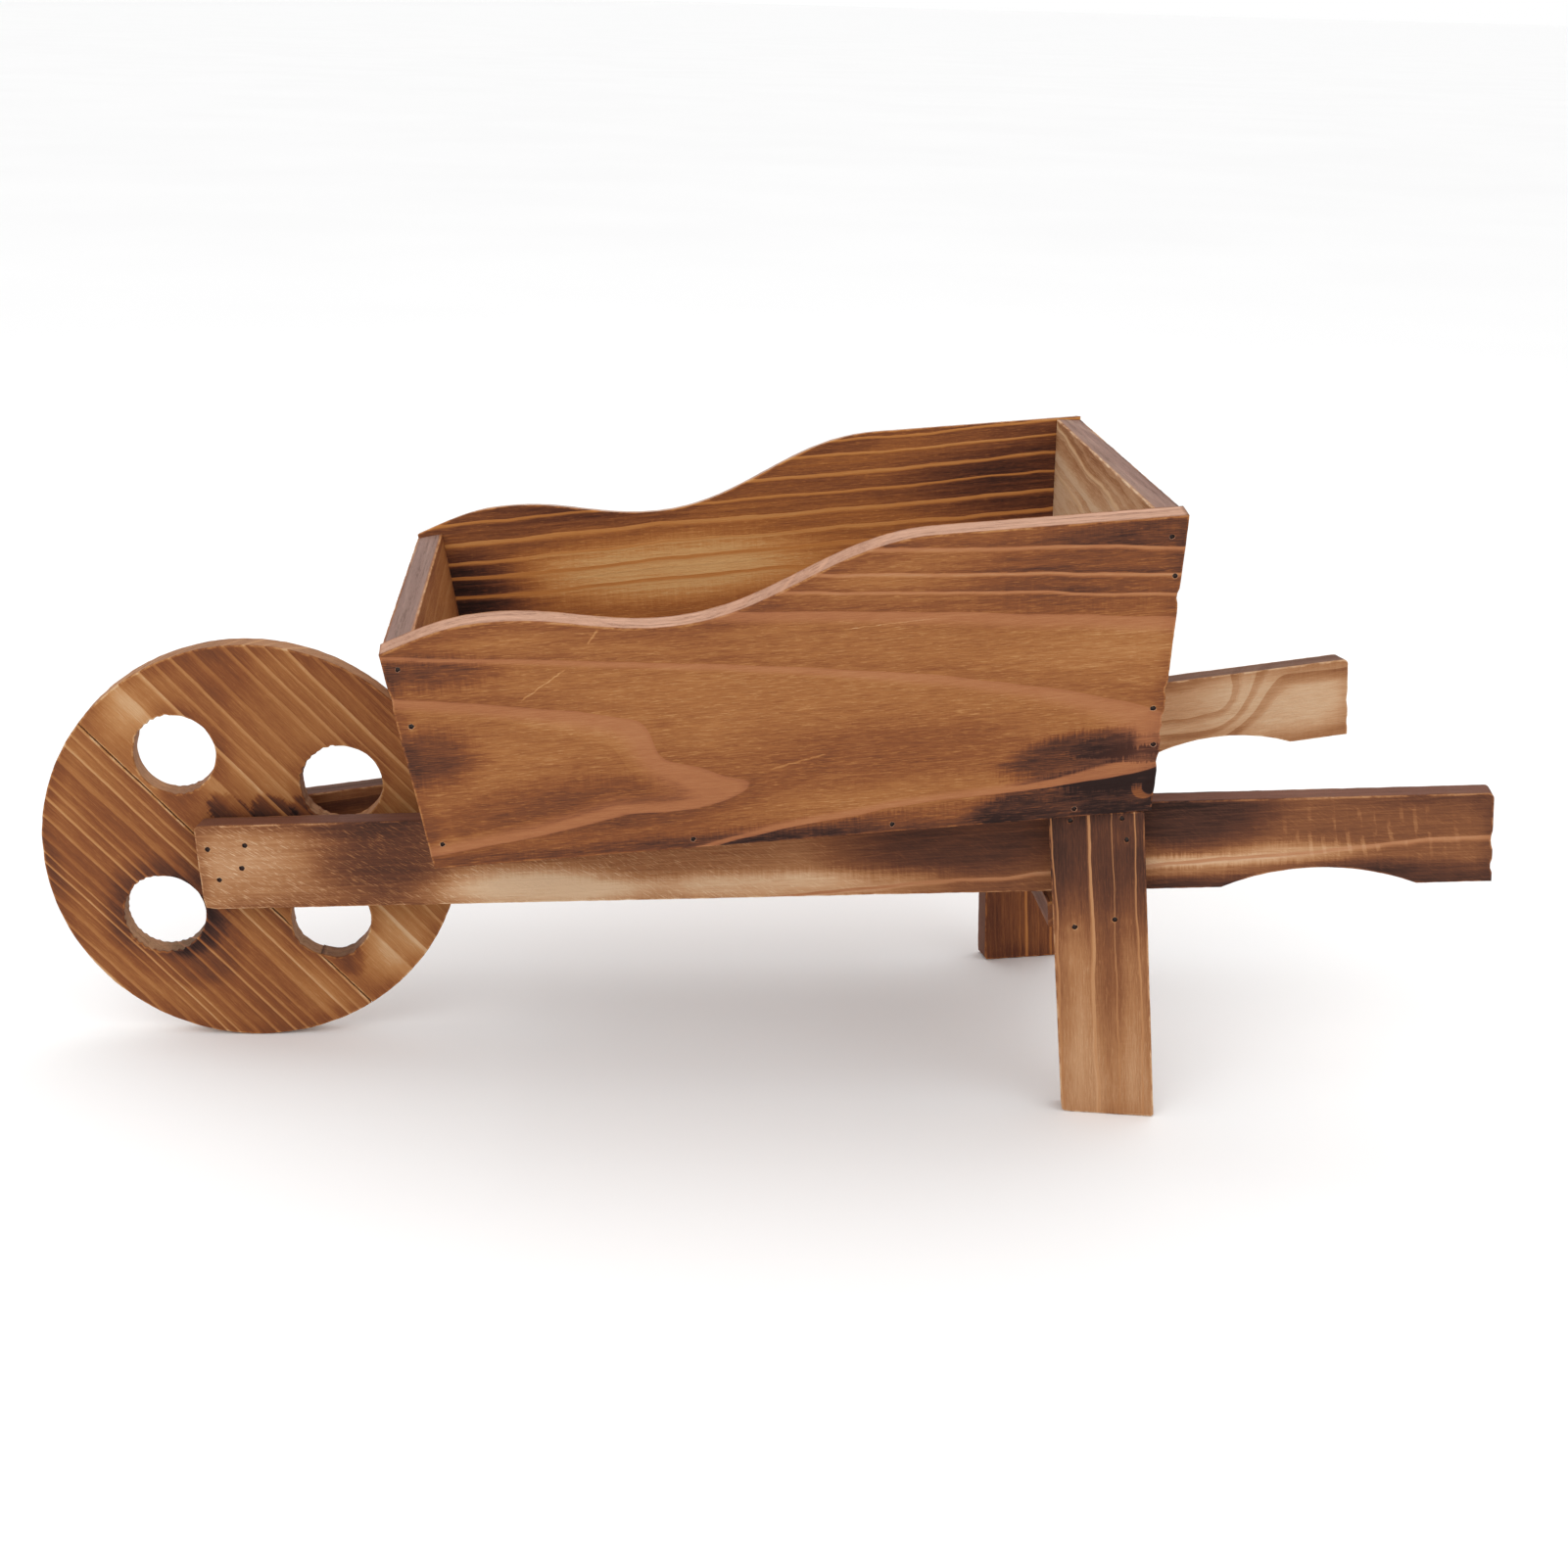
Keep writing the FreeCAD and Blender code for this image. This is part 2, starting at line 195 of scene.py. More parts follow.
def clear_of_wheel(place):
    """Adds the front board's shallow relief for the turning wheel to its place function."""
    half_width = STOCK / 2 + WHEEL_CLEARANCE
    reach = WHEEL_RADIUS + WHEEL_CLEARANCE

    def relieved(point):
        spot = place(point)
        rise = spot.z + AXLE_DROP
        if abs(spot.y) <= half_width + 0.05 and rise < reach:
            spot.x = max(spot.x, AXLE_SETBACK + math.sqrt(reach ** 2 - rise ** 2))
        return spot
    return relieved


def floor_place(point):
    x, y, z = point
    height = FLOOR_THICKNESS + y
    front = TRAY_FRONT + STOCK / cosine(FRONT_LEAN) - height * tangent(FRONT_LEAN)
    rear = TRAY_FRONT + TRAY_LENGTH - STOCK / cosine(REAR_LEAN) + height * tangent(REAR_LEAN)
    share = x / TRAY_LENGTH
    return Vector((front + share * (rear - front), z / inside_y(0) * inside_y(height), height))


def brace_half():
    """Half of the brace's middle length, between the legs' inner faces."""
    return RAIL_FRONT_GAP / 2 + STOCK + (BRACE_FRONT + BRACE_WIDTH / 2) * tangent(RAIL_SPREAD)


def brace_place(point):
    x, y, z = point
    half = RAIL_FRONT_GAP / 2 + STOCK / cosine(RAIL_SPREAD) + (BRACE_FRONT + z) * tangent(RAIL_SPREAD)
    return Vector((BRACE_FRONT + z, x / brace_half() * half, BRACE_BOTTOM + STOCK + y))


def wheel_centre():
    """The wheel's centre in the row frame, from its CAD boxes, in millimetres."""
    lows = [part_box(name)[0] for name in ("wheel_main_board", "wheel_edge_board")]
    front = min(low.x for low in lows)
    return Vector((front / MM + WHEEL_RADIUS, 0, WHEEL_RADIUS))


AXLE = wheel_centre()


def stand_matrix():
    """From the barrow's frame to the ground: tipped about Y, with the axle at the wheel's centre."""
    tip = Matrix.Rotation(math.radians(-RAIL_PITCH), 4, "Y")
    return Matrix.Translation(AXLE - tip @ Vector((AXLE_SETBACK, 0, -AXLE_DROP))) @ tip


STAND = stand_matrix()


def on_ground(place):
    """A place function that ends in the row frame, in metres, never below the ground."""
    def placed(point):
        spot = STAND @ place(point)
        spot.z = max(spot.z, 0.0)
        return spot * MM
    return placed


def wheel_place(point):
    """The wheel is drawn along its grain, with y = 0 on its left face."""
    s, y, t = point
    x = s * cosine(GLUE_LINE_BEARING) - t * sine(GLUE_LINE_BEARING)
    z = s * sine(GLUE_LINE_BEARING) + t * cosine(GLUE_LINE_BEARING)
    return (AXLE + Vector((x, -STOCK / 2 - y, z))) * MM


# ---- outlines ----
def arc(centre, radius, start, end, step=EDGE_STEP):
    """Points from bearing start to bearing end, in degrees, round a centre."""
    count = max(3, math.ceil(abs(math.radians(end - start)) * radius / step))
    bearings = [start + (end - start) * i / count for i in range(count + 1)]
    return [(centre[0] + radius * cosine(b), centre[1] + radius * sine(b)) for b in bearings]


def bezier(start, end, start_slope=0.0):
    """An S-shaped edge that leaves at a slope and arrives level."""
    reach = 0.4 * (end[0] - start[0])
    poles = [start, (start[0] + reach, start[1] + reach * start_slope), (end[0] - reach, end[1]), end]
    count = math.ceil((end[0] - start[0]) / EDGE_STEP)
    points = []
    for i in range(count + 1):
        t = i / count
        weights = ((1 - t) ** 3, 3 * t * (1 - t) ** 2, 3 * t * t * (1 - t), t ** 3)
        points.append(tuple(sum(w * p[axis] for w, p in zip(weights, poles)) for axis in (0, 1)))
    return points


def walked(corners):
    """The closed outline with a point at least every EDGE_STEP and no doubled points."""
    points = []
    for start, end in zip(corners, corners[1:] + corners[:1]):
        start, end = Vector(start), Vector(end)
        length = (end - start).length
        if length < 0.05:
            continue
        count = max(1, math.ceil(length / EDGE_STEP - 0.01))
        points += [start.lerp(end, i / count) for i in range(count)]
    return points


def blunted(corners, amount):
    """The outline's sharp corners cut back by a small amount."""
    points = []
    for i, corner in enumerate(corners):
        here = Vector(corner)
        back = Vector(corners[i - 1]) - here
        on = Vector(corners[(i + 1) % len(corners)]) - here
        if back.length < 4 * amount or on.length < 4 * amount:
            points.append(here)
            continue
        points += [here + back.normalized() * amount, here + on.normalized() * amount]
    return points


def inward_normals(points):
    """Unit-distance inward offsets at each point of an outline that has its wood on the left."""
    normals = []
    for i, point in enumerate(points):
        back = (point - points[i - 1]).normalized()
        on = (points[(i + 1) % len(points)] - point).normalized()
        bisector = Vector((-back.y - on.y, back.x + on.x))
        length = bisector.length
        normals.append(bisector * (2 / length ** 2) if length > 0.9 else bisector.normalized() * 1.6)
    return normals


def turns_left(points):
    """Whether a closed outline runs anticlockwise."""
    pairs = zip(points, points[1:] + points[:1])
    return sum(a.x * b.y - b.x * a.y for a, b in pairs) > 0


def search_tree(points):
    tree = kdtree.KDTree(len(points))
    for i, point in enumerate(points):
        tree.insert((point.x, point.y, 0), i)
    tree.balance()
    return tree


def inner_points(flat):
    """A staggered grid of points inside a face, clear of its loops."""
    tree = search_tree(flat)
    low = Vector((min(p.x for p in flat), min(p.y for p in flat)))
    high = Vector((max(p.x for p in flat), max(p.y for p in flat)))
    rows = int((high.y - low.y) / FACE_STEP)
    columns = int((high.x - low.x) / FACE_STEP)
    spots = []
    for row in range(1, rows + 1):
        for column in range(columns + 1):
            x = low.x + (column + 0.5 * (row % 2)) * FACE_STEP
            y = low.y + (row - 0.4) * FACE_STEP
            if tree.find((x, y, 0))[2] > 0.45 * FACE_STEP:
                spots.append(Vector((x, y)))
    return spots


# ---- one board as a closed mesh ----
class Slab:
    """A board under construction: points in its own frame, faces, and what wore or cut it."""

    def __init__(self, thickness, seed, rough=0.15, chips=(), tips=(), fibres=(1, 0)):
        self.thickness = thickness
        self.seed = seed
        self.rough = rough  # how uneven its sawn edges are
        self.chips = chips  # (x, z, reach, depth) of splinters lost from its edges
        self.tips = tips  # its acute corners, which stay crisp
        self.fibres = Vector(fibres)  # which way its grain runs
        self.points = []
        self.outlines = []
        self.worn = []
        self.cut = []
        self.faces = []

    def add(self, points, worn, cut):
        """Adds points with how worn and cut they are; returns their numbers."""
        first = len(self.points)
        self.points += points
        self.worn += [worn] * len(points)
        self.cut += cut if isinstance(cut, list) else [cut] * len(points)
        return list(range(first, first + len(points)))

    def bridge(self, one, other):
        """A band of faces between two loops of as many points."""
        count = len(one)
        for i in range(count):
            j = (i + 1) % count
            self.faces.append((one[i], one[j], other[j], other[i]))

    def chip_depth(self, point):
        """How much wood is missing at a point of an outline."""
        depth = 0.0
        for x, z, reach, most in self.chips:
            gap = (point - Vector((x, z))).length / reach
            depth = max(depth, most * max(0.0, 1 - gap * gap))
        return depth

    def crispness(self, point):
        """1 along most of an outline, nearly 0 at an acute tip."""
        gaps = [(point - Vector(tip)).length / TIP_REACH for tip in self.tips]
        return min([1.0] + [max(0.03, gap) for gap in gaps])

    def edge_loops(self, outline):
        """The strips over one edge, from face to face; returns the two loops that bound the faces."""
        normals = inward_normals(outline)
        sawn = [CUT_SAWN - 0.6 * abs(normal.dot(self.fibres)) for normal in normals]
        self.outlines += outline
        loops = []
        t = self.thickness
        middle = [(0, depth, 0) for depth in (CUFF, 0.3 * t, 0.5 * t, 0.7 * t, t - CUFF)]
        # each row is an inset, a depth and a wear; edge_point explains the negative ones
        near = [(EDGE_BAND, 0, 0), (-1, 0, 0.7), (-0.29, -0.29, 1), (0, -1, 0.7)]
        far = [(0, -2, 0.7), (-0.29, -2.71, 1), (-1, -3, 0.7), (EDGE_BAND, t, 0)]
        for row in near + middle + far:
            inset, depth, worn = row
            loop = []
            for point, normal in zip(outline, normals):
                r = self.arris(point, depth)
                loop.append(self.edge_point(point, normal, inset, depth, r))
            loops.append(self.add(loop, worn, sawn if row in middle else CUT_FACE))
        for one, other in zip(loops, loops[1:]):
            self.bridge(one, other)
        return loops[0], loops[-1]

    def arris(self, point, depth):
        """The worn edge's radius at an outline point, a little different on each face."""
        face = 0 if -2 < depth < self.thickness / 2 else 50
        slow = wander(point.x, face, point.y, 11, self.seed)
        quick = wander(point.x, face, point.y, 3, self.seed + 1)
        least, most = ARRIS_RANGE
        radius = min(most, max(least, ARRIS * (1 + 0.7 * slow + 0.5 * quick)))
        return radius * self.crispness(point)

    def edge_point(self, point, normal, inset, depth, r):
        """Negative insets and depths count in arris radii, and depths below -1.5 from the far face."""
        crisp = self.crispness(point)
        inset = -inset * r if inset < 0 else inset * crisp
        if depth < -1.5:
            depth = self.thickness - (3 + depth) * r
        elif depth < 0:
            depth = -depth * r
        uneven = self.rough * (1 + wander(point.x, depth, point.y, 4, self.seed + 2)) * 0.5
        uneven += self.rough * 0.5 * (1 + wander(point.x, depth * 0.5, point.y, 1.7, self.seed + 3)) * 0.5
        chip = self.chip_depth(point) * (1 - 0.5 * depth / self.thickness)
        spot = point + normal * (inset + (uneven + chip) * crisp)
        return Vector((spot.x, -depth + self.face_sink(spot, depth), spot.y))

    def face_sink(self, spot, depth):
        """Faces lie slightly below true, never above it."""
        if 0.05 < depth < self.thickness - 0.05:
            return 0.0
        sink = FACE_SINK + 0.05 * wander(spot.x, depth, spot.y, 38, self.seed + 4)
        return -sink if depth < 1 else sink

    def pit(self, centre):
        """A nail pit with a torn rim; returns its outer loop, on the face."""
        loops = []
        rim = [(PIT_RING, 0.0, 0.2, CUT_FACE), (1.2, 0.0, 1.0, CUT_FACE)]
        wall = [(1.0, 0.25, 0.0, CUT_PIT), (0.95, PIT_DEPTH, 0.0, CUT_PIT)]
        for radius, depth, worn, cut in rim + wall:
            loop = []
            for i in range(PIT_POINTS):
                bearing = 360 / PIT_POINTS * i
                jag = 0.45 * wander(bearing, centre[0], centre[1], 25, self.seed)
                reach = radius + (min(0.2, jag) if 0.97 < radius < PIT_RING else 0.0)
                x, z = centre[0] + reach * cosine(bearing), centre[1] + reach * sine(bearing)
                loop.append(Vector((x, -depth - FACE_SINK, z)))
            loops.append(self.add(loop, worn, cut))
        for one, other in zip(loops, loops[1:]):
            self.bridge(one, other)
        self.faces.append(tuple(loops[-1]))
        return loops[0]

    def fill(self, depth, loops, extra=()):
        """Triangles over one face, between its outer loop and the loops inside it."""
        flat = []
        index = []
        rings = []
        for loop in loops:
            around = [Vector((self.points[i].x, self.points[i].z)) for i in loop]
            ring = list(range(len(flat), len(flat) + len(loop)))
            rings.append(ring if turns_left(around) else ring[::-1])
            flat += around
            index += loop
        for spot in list(extra) + inner_points(flat):
            sunk = Vector((spot.x, -depth + self.face_sink(spot, depth), spot.y))
            index += self.add([sunk], 0.0, CUT_FACE)
            flat.append(spot)
        result = delaunay_2d_cdt(flat, [], rings, 1, 1e-4, True)
        if any(not ids for ids in result[3]):
            raise ValueError("a board's loops cross: its chips, pits or edge band are too deep")
        origin = [index[ids[0]] for ids in result[3]]
        for triangle, owners in zip(result[2], result[5]):
            if list(owners) == [0]:
                self.faces.append(tuple(origin[i] for i in triangle))


def edge_gaps(slab):
    """Each point's distance from the nearest outline, in millimetres."""
    tree = search_tree(slab.outlines)
    return [tree.find((point.x, point.z, 0))[2] for point in slab.points]


def build_slab(outline, slab, holes=(), pits=(), extra=()):
    """Closes a slab: its outer edge, its through holes, its pits and both faces."""
    fronts, backs = [], []
    for loop in [walked(outline)] + [walked(hole) for hole in holes]:
        front, back = slab.edge_loops(loop)
        fronts.append(front)
        backs.append(back)
    fronts += [slab.pit(centre) for centre in pits]
    slab.fill(0.0, fronts, extra)
    slab.fill(slab.thickness, backs)


def make_piece(name, slab, place, grain):
    """The Blender object of a finished slab, with the attributes that its wood reads."""
    mesh = bpy.data.meshes.new(name)
    mesh.from_pydata([place(point) for point in slab.points], [], slab.faces)
    along = mesh.attributes.new("grain", "FLOAT_VECTOR", "POINT")
    along.data.foreach_set("vector", [c for point in slab.points for c in grain(point)])
    for label, values in (("worn", slab.worn), ("cut", slab.cut), ("edge_gap", edge_gaps(slab))):
        layer = mesh.attributes.new(label, "FLOAT", "POINT")
        layer.data.foreach_set("value", values)
    drop_loose(mesh)
    mesh.shade_smooth()
    piece = bpy.data.objects.new(name, mesh)
    bpy.context.scene.collection.objects.link(piece)
    return piece


def drop_loose(mesh):
    """Removes points that no face uses and turns every face outwards."""
    work = bmesh.new()
    work.from_mesh(mesh)
    loose = [vert for vert in work.verts if not vert.link_faces]
    bmesh.ops.delete(work, geom=loose, context="VERTS")
    bmesh.ops.recalc_face_normals(work, faces=work.faces)
    work.to_mesh(mesh)
    work.free()


def along_x(point):
    return point


def finish_piece(node, slab, place, material, body="barrow", grain=along_x):
    """A board's mesh in place of its CAD node, on that node's body, with its material."""
    piece = make_piece(node + "_wood", slab, place, grain)
    piece.data.materials.append(material)
    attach(piece, body)
    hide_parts(node)


# ---- the boards ----
def along_z(origin):
    """Grain of a board that stands upright: along is down from the origin's height."""
    def grain(point):
        return Vector((-point.z, point.y, point.x - origin))
    return grain


def rail_outline():
    """A rail with the hollow under its grip and its rounded top corners."""
    r = RAIL_CORNER_RADIUS
    bottom = -RAIL_HEIGHT
    half = GRIP_LENGTH / 2
    radius = (half ** 2 + GRIP_RISE ** 2) / (2 * GRIP_RISE)
    centre = (GRIP_START + half, bottom + GRIP_RISE - radius)
    spread = math.degrees(math.asin(half / radius))
    lower = [(0, bottom)] + arc(centre, radius, 90 + spread, 90 - spread)
    upper = arc((RAIL_LENGTH - r, -r), r, 0, 90, 0.8) + arc((r, -r), r, 90, 180, 0.8)
    return lower + [(RAIL_LENGTH, bottom)] + upper


def build_rail(side, material):
    chips = [(0, -RAIL_HEIGHT, 5, 0.6), (RAIL_LENGTH, -20, 4, 0.8), (RAIL_LENGTH, -31, 3, 0.8)]
    slab = Slab(STOCK, 3 if side == LEFT else 4, 0.2, chips)
    build_slab(rail_outline(), slab, pits=AXLE_BRADS + RAIL_END_BRADS)
    finish_piece(sided(side, "rail"), slab, on_ground(rail_place(side, STOCK)), material)


def up_side(place):
    """An x and a height as a place on the splayed side board."""
    return (place[0], place[1] / cosine(SIDE_SPLAY))


def side_outline():
    """A side board with its wave along the top."""
    front_top = up_side((-FRONT_HEIGHT * tangent(FRONT_LEAN), FRONT_HEIGHT))
    rear_top = up_side((TRAY_LENGTH + REAR_HEIGHT * tangent(REAR_LEAN), REAR_HEIGHT))
    crest, trough, shoulder = up_side(CREST), up_side(TROUGH), up_side(SHOULDER)
    wave = bezier(front_top, crest, WAVE_START_SLOPE)
    wave += bezier(crest, trough)[1:] + bezier(trough, shoulder)[1:]
    return [(0, 0), (TRAY_LENGTH, 0), rear_top] + wave[::-1]


def build_side(side, material):
    chips = [(297, 92, 3.5, 1.0), (292, 53, 3, 0.9), (290, 22, 3, 0.8), (-9, 74, 4, 0.6)]
    # a row of small tears up the rear edge, between the brads
    chips += [(288 + 0.077 * height, height, 1.5, 0.8) for height in (33.4, 36.2, 38.8, 41.2)]
    slab = Slab(STOCK, 1 if side == LEFT else 2, 0.2, chips)
    pits = [up_side(place) for place in FRONT_CORNER_BRADS + REAR_CORNER_BRADS + FLOOR_BRADS]
    build_slab(side_outline(), slab, pits=pits)
    finish_piece(sided(side, "side_board"), slab, on_ground(side_place(side)), material)


def build_front(material):
    """The front board, with a finer grid of points where the wheel's relief is cut."""
    slope = FRONT_HEIGHT / cosine(FRONT_LEAN)
    half = inside_y(FRONT_HEIGHT / 2)
    relief = STOCK / 2 + WHEEL_CLEARANCE
    beside = relief + 0.3
    rows = [RELIEF_STEP * (row + 1) for row in range(RELIEF_ROWS)]
    bottom = [(a, 0) for a in (-half, -beside, -relief, relief, beside, half)]
    columns = [-beside, -relief, -0.5 * relief, 0.0, 0.5 * relief, relief, beside]
    extra = [Vector((a, s)) for a in columns for s in rows]
    slab = Slab(STOCK, 5, 0.15)
    build_slab(bottom + [(half, slope), (-half, slope)], slab, extra=extra)
    place = clear_of_wheel(end_place(TRAY_FRONT, FRONT_LEAN, 1, half))
    finish_piece("front_board", slab, on_ground(place), material)


def build_rear(material):
    slope = REAR_HEIGHT / cosine(REAR_LEAN)
    half = inside_y(REAR_HEIGHT / 2)
    slab = Slab(STOCK, 6, 0.15)
    build_slab([(-half, 0), (half, 0), (half, slope), (-half, slope)], slab)
    place = end_place(TRAY_FRONT + TRAY_LENGTH, REAR_LEAN, -1, half)
    finish_piece("rear_board", slab, on_ground(place), material)


def build_floor(material):
    half = inside_y(0)
    slab = Slab(FLOOR_THICKNESS, 7, 0.1)
    build_slab([(0, -half), (TRAY_LENGTH, -half), (TRAY_LENGTH, half), (0, half)], slab)
    finish_piece("floor_board", slab, on_ground(floor_place), material)


def build_brace(material):
    half = brace_half()
    slab = Slab(STOCK, 8, 0.3)
    build_slab([(-half, 0), (half, 0), (half, BRACE_WIDTH), (-half, BRACE_WIDTH)], slab)
    finish_piece("leg_brace", slab, on_ground(brace_place), material)


def foot_height(front, lean):
    """Height, in the rail's frame, at which a leg's edge reaches the ground on its outer face."""
    drop = STAND.translation.z
    pitch, spread = sine(RAIL_PITCH), RAIL_SPREAD
    flat = (front * cosine(spread) - 2 * STOCK * sine(spread)) * pitch
    return -(drop + flat) / (cosine(RAIL_PITCH) - tangent(lean) * cosine(spread) * pitch)


def build_leg(side, lean, material):
    """A leg beside its rail, cut off at the ground."""
    front, rear = LEG_FRONT, LEG_FRONT + LEG_WIDTH
    front_z, rear_z = foot_height(front, lean), foot_height(rear, lean)
    front_foot = (front - front_z * tangent(lean), front_z)
    rear_foot = (rear - rear_z * tangent(lean), rear_z)
    corners = [front_foot, rear_foot, (rear, 0), (front, 0)]
    chips = [(front_foot[0], front_z, 3.5, 0.3)]
    slab = Slab(STOCK, 9 if side == LEFT else 10, 0.15, chips, fibres=(0, 1))
    build_slab(blunted(corners, 1.0), slab, pits=LEG_BRADS + BRACE_BRADS)
    place = on_ground(rail_place(side, 2 * STOCK))
    finish_piece(sided(side, "leg"), slab, place, material, grain=along_z(LEG_FRONT))


def hole_centre(place):
    """A hole's centre in the wheel's grain frame, from its distance and bearing."""
    distance, bearing = place
    turn = bearing - GLUE_LINE_BEARING
    return distance * cosine(turn), distance * sine(turn)


def wheel_hole(centre, radius):
    """A round hole's outline, with its wood on the left."""
    return arc(centre, radius, 360, 0, EDGE_STEP / 2)[:-1]


def torn_edge(centre, radius, start, end, seed):
    """Splinters lost along part of a round edge, between two bearings."""
    chips = []
    step = math.degrees(TEAR_STEP / radius)
    for i in range(int(radius * math.radians(end - start) / TEAR_STEP)):
        bearing = start + step * (i + 0.4 * wander(i, radius, centre[0], 2, seed))
        depth = TEAR_DEPTH * (0.5 + 0.5 * wander(i, centre[1], radius, 2, seed + 1))
        spot = (centre[0] + radius * cosine(bearing), centre[1] + radius * sine(bearing))
        chips.append(spot + (TEAR_REACH, depth))
    return chips


def wheel_tears():
    """The saw tore the lower side of each hole, as the wheel is drawn, clear of the glue line."""
    spans = [((150, 222), (318, 360)), ((150, 360),), ((150, 222), (256, 284), (318, 360)), ((150, 360),)]
    chips = []
    for i, place in enumerate(WHEEL_HOLES):
        for start, end in spans[i]:
            chips += torn_edge(hole_centre(place), WHEEL_HOLE_RADIUS, start, end, 40 + i)
    return chips


def wheel_outlines():
    """Outlines of the main and the edge board, which share one hole across the glue line."""
    hole_x = WHEEL_HOLES[2][0]
    rim = math.degrees(math.asin(GLUE_LINE_OFFSET / WHEEL_RADIUS))
    lip = math.degrees(math.asin(GLUE_LINE_OFFSET / WHEEL_HOLE_RADIUS))
    notch = arc((hole_x, 0), WHEEL_HOLE_RADIUS, 180 + lip, -lip)
    main = notch + arc((0, 0), WHEEL_RADIUS, -rim, 180 + rim)
    bite = arc((hole_x, 0), WHEEL_HOLE_RADIUS, 360 - lip, 180 + lip)
    edge = bite + arc((0, 0), WHEEL_RADIUS, 180 + rim, 360 - rim)
    return main, edge


def build_wheel(main_material, edge_material):
    main, edge = wheel_outlines()
    bore = wheel_hole((0, 0), AXLE_RADIUS + BORE_CLEARANCE)
    holes = [wheel_hole(hole_centre(place), WHEEL_HOLE_RADIUS) for place in WHEEL_HOLES]
    tip_x = math.sqrt(WHEEL_HOLE_RADIUS ** 2 - GLUE_LINE_OFFSET ** 2)
    tips = [(WHEEL_HOLES[2][0] + side * tip_x, -GLUE_LINE_OFFSET) for side in (-1, 1)]
    chips = wheel_tears()
    slab = Slab(STOCK, 11, 0.35, chips, tips=tips)
    build_slab(main, slab, holes=[bore, holes[0], holes[1]])
    finish_piece("wheel_main_board", slab, wheel_place, main_material, "wheel")
    slab = Slab(STOCK, 12, 0.35, chips)
    build_slab(edge, slab, holes=[holes[3]])
    finish_piece("wheel_edge_board", slab, wheel_place, edge_material, "wheel")


# ---- node trees ----
LIGHT_SHARE = 0.86  # surfaces that face the camera get a little more than full light


def colour(red, green, blue):
    """A surface that shows as this display colour, 0 to 255, under the scene's light."""
    def linear(value):
        value /= 255
        return value / 12.92 if value <= 0.04045 else ((value + 0.055) / 1.055) ** 2.4
    return tuple(LIGHT_SHARE * linear(value) for value in (red, green, blue)) + (1.0,)


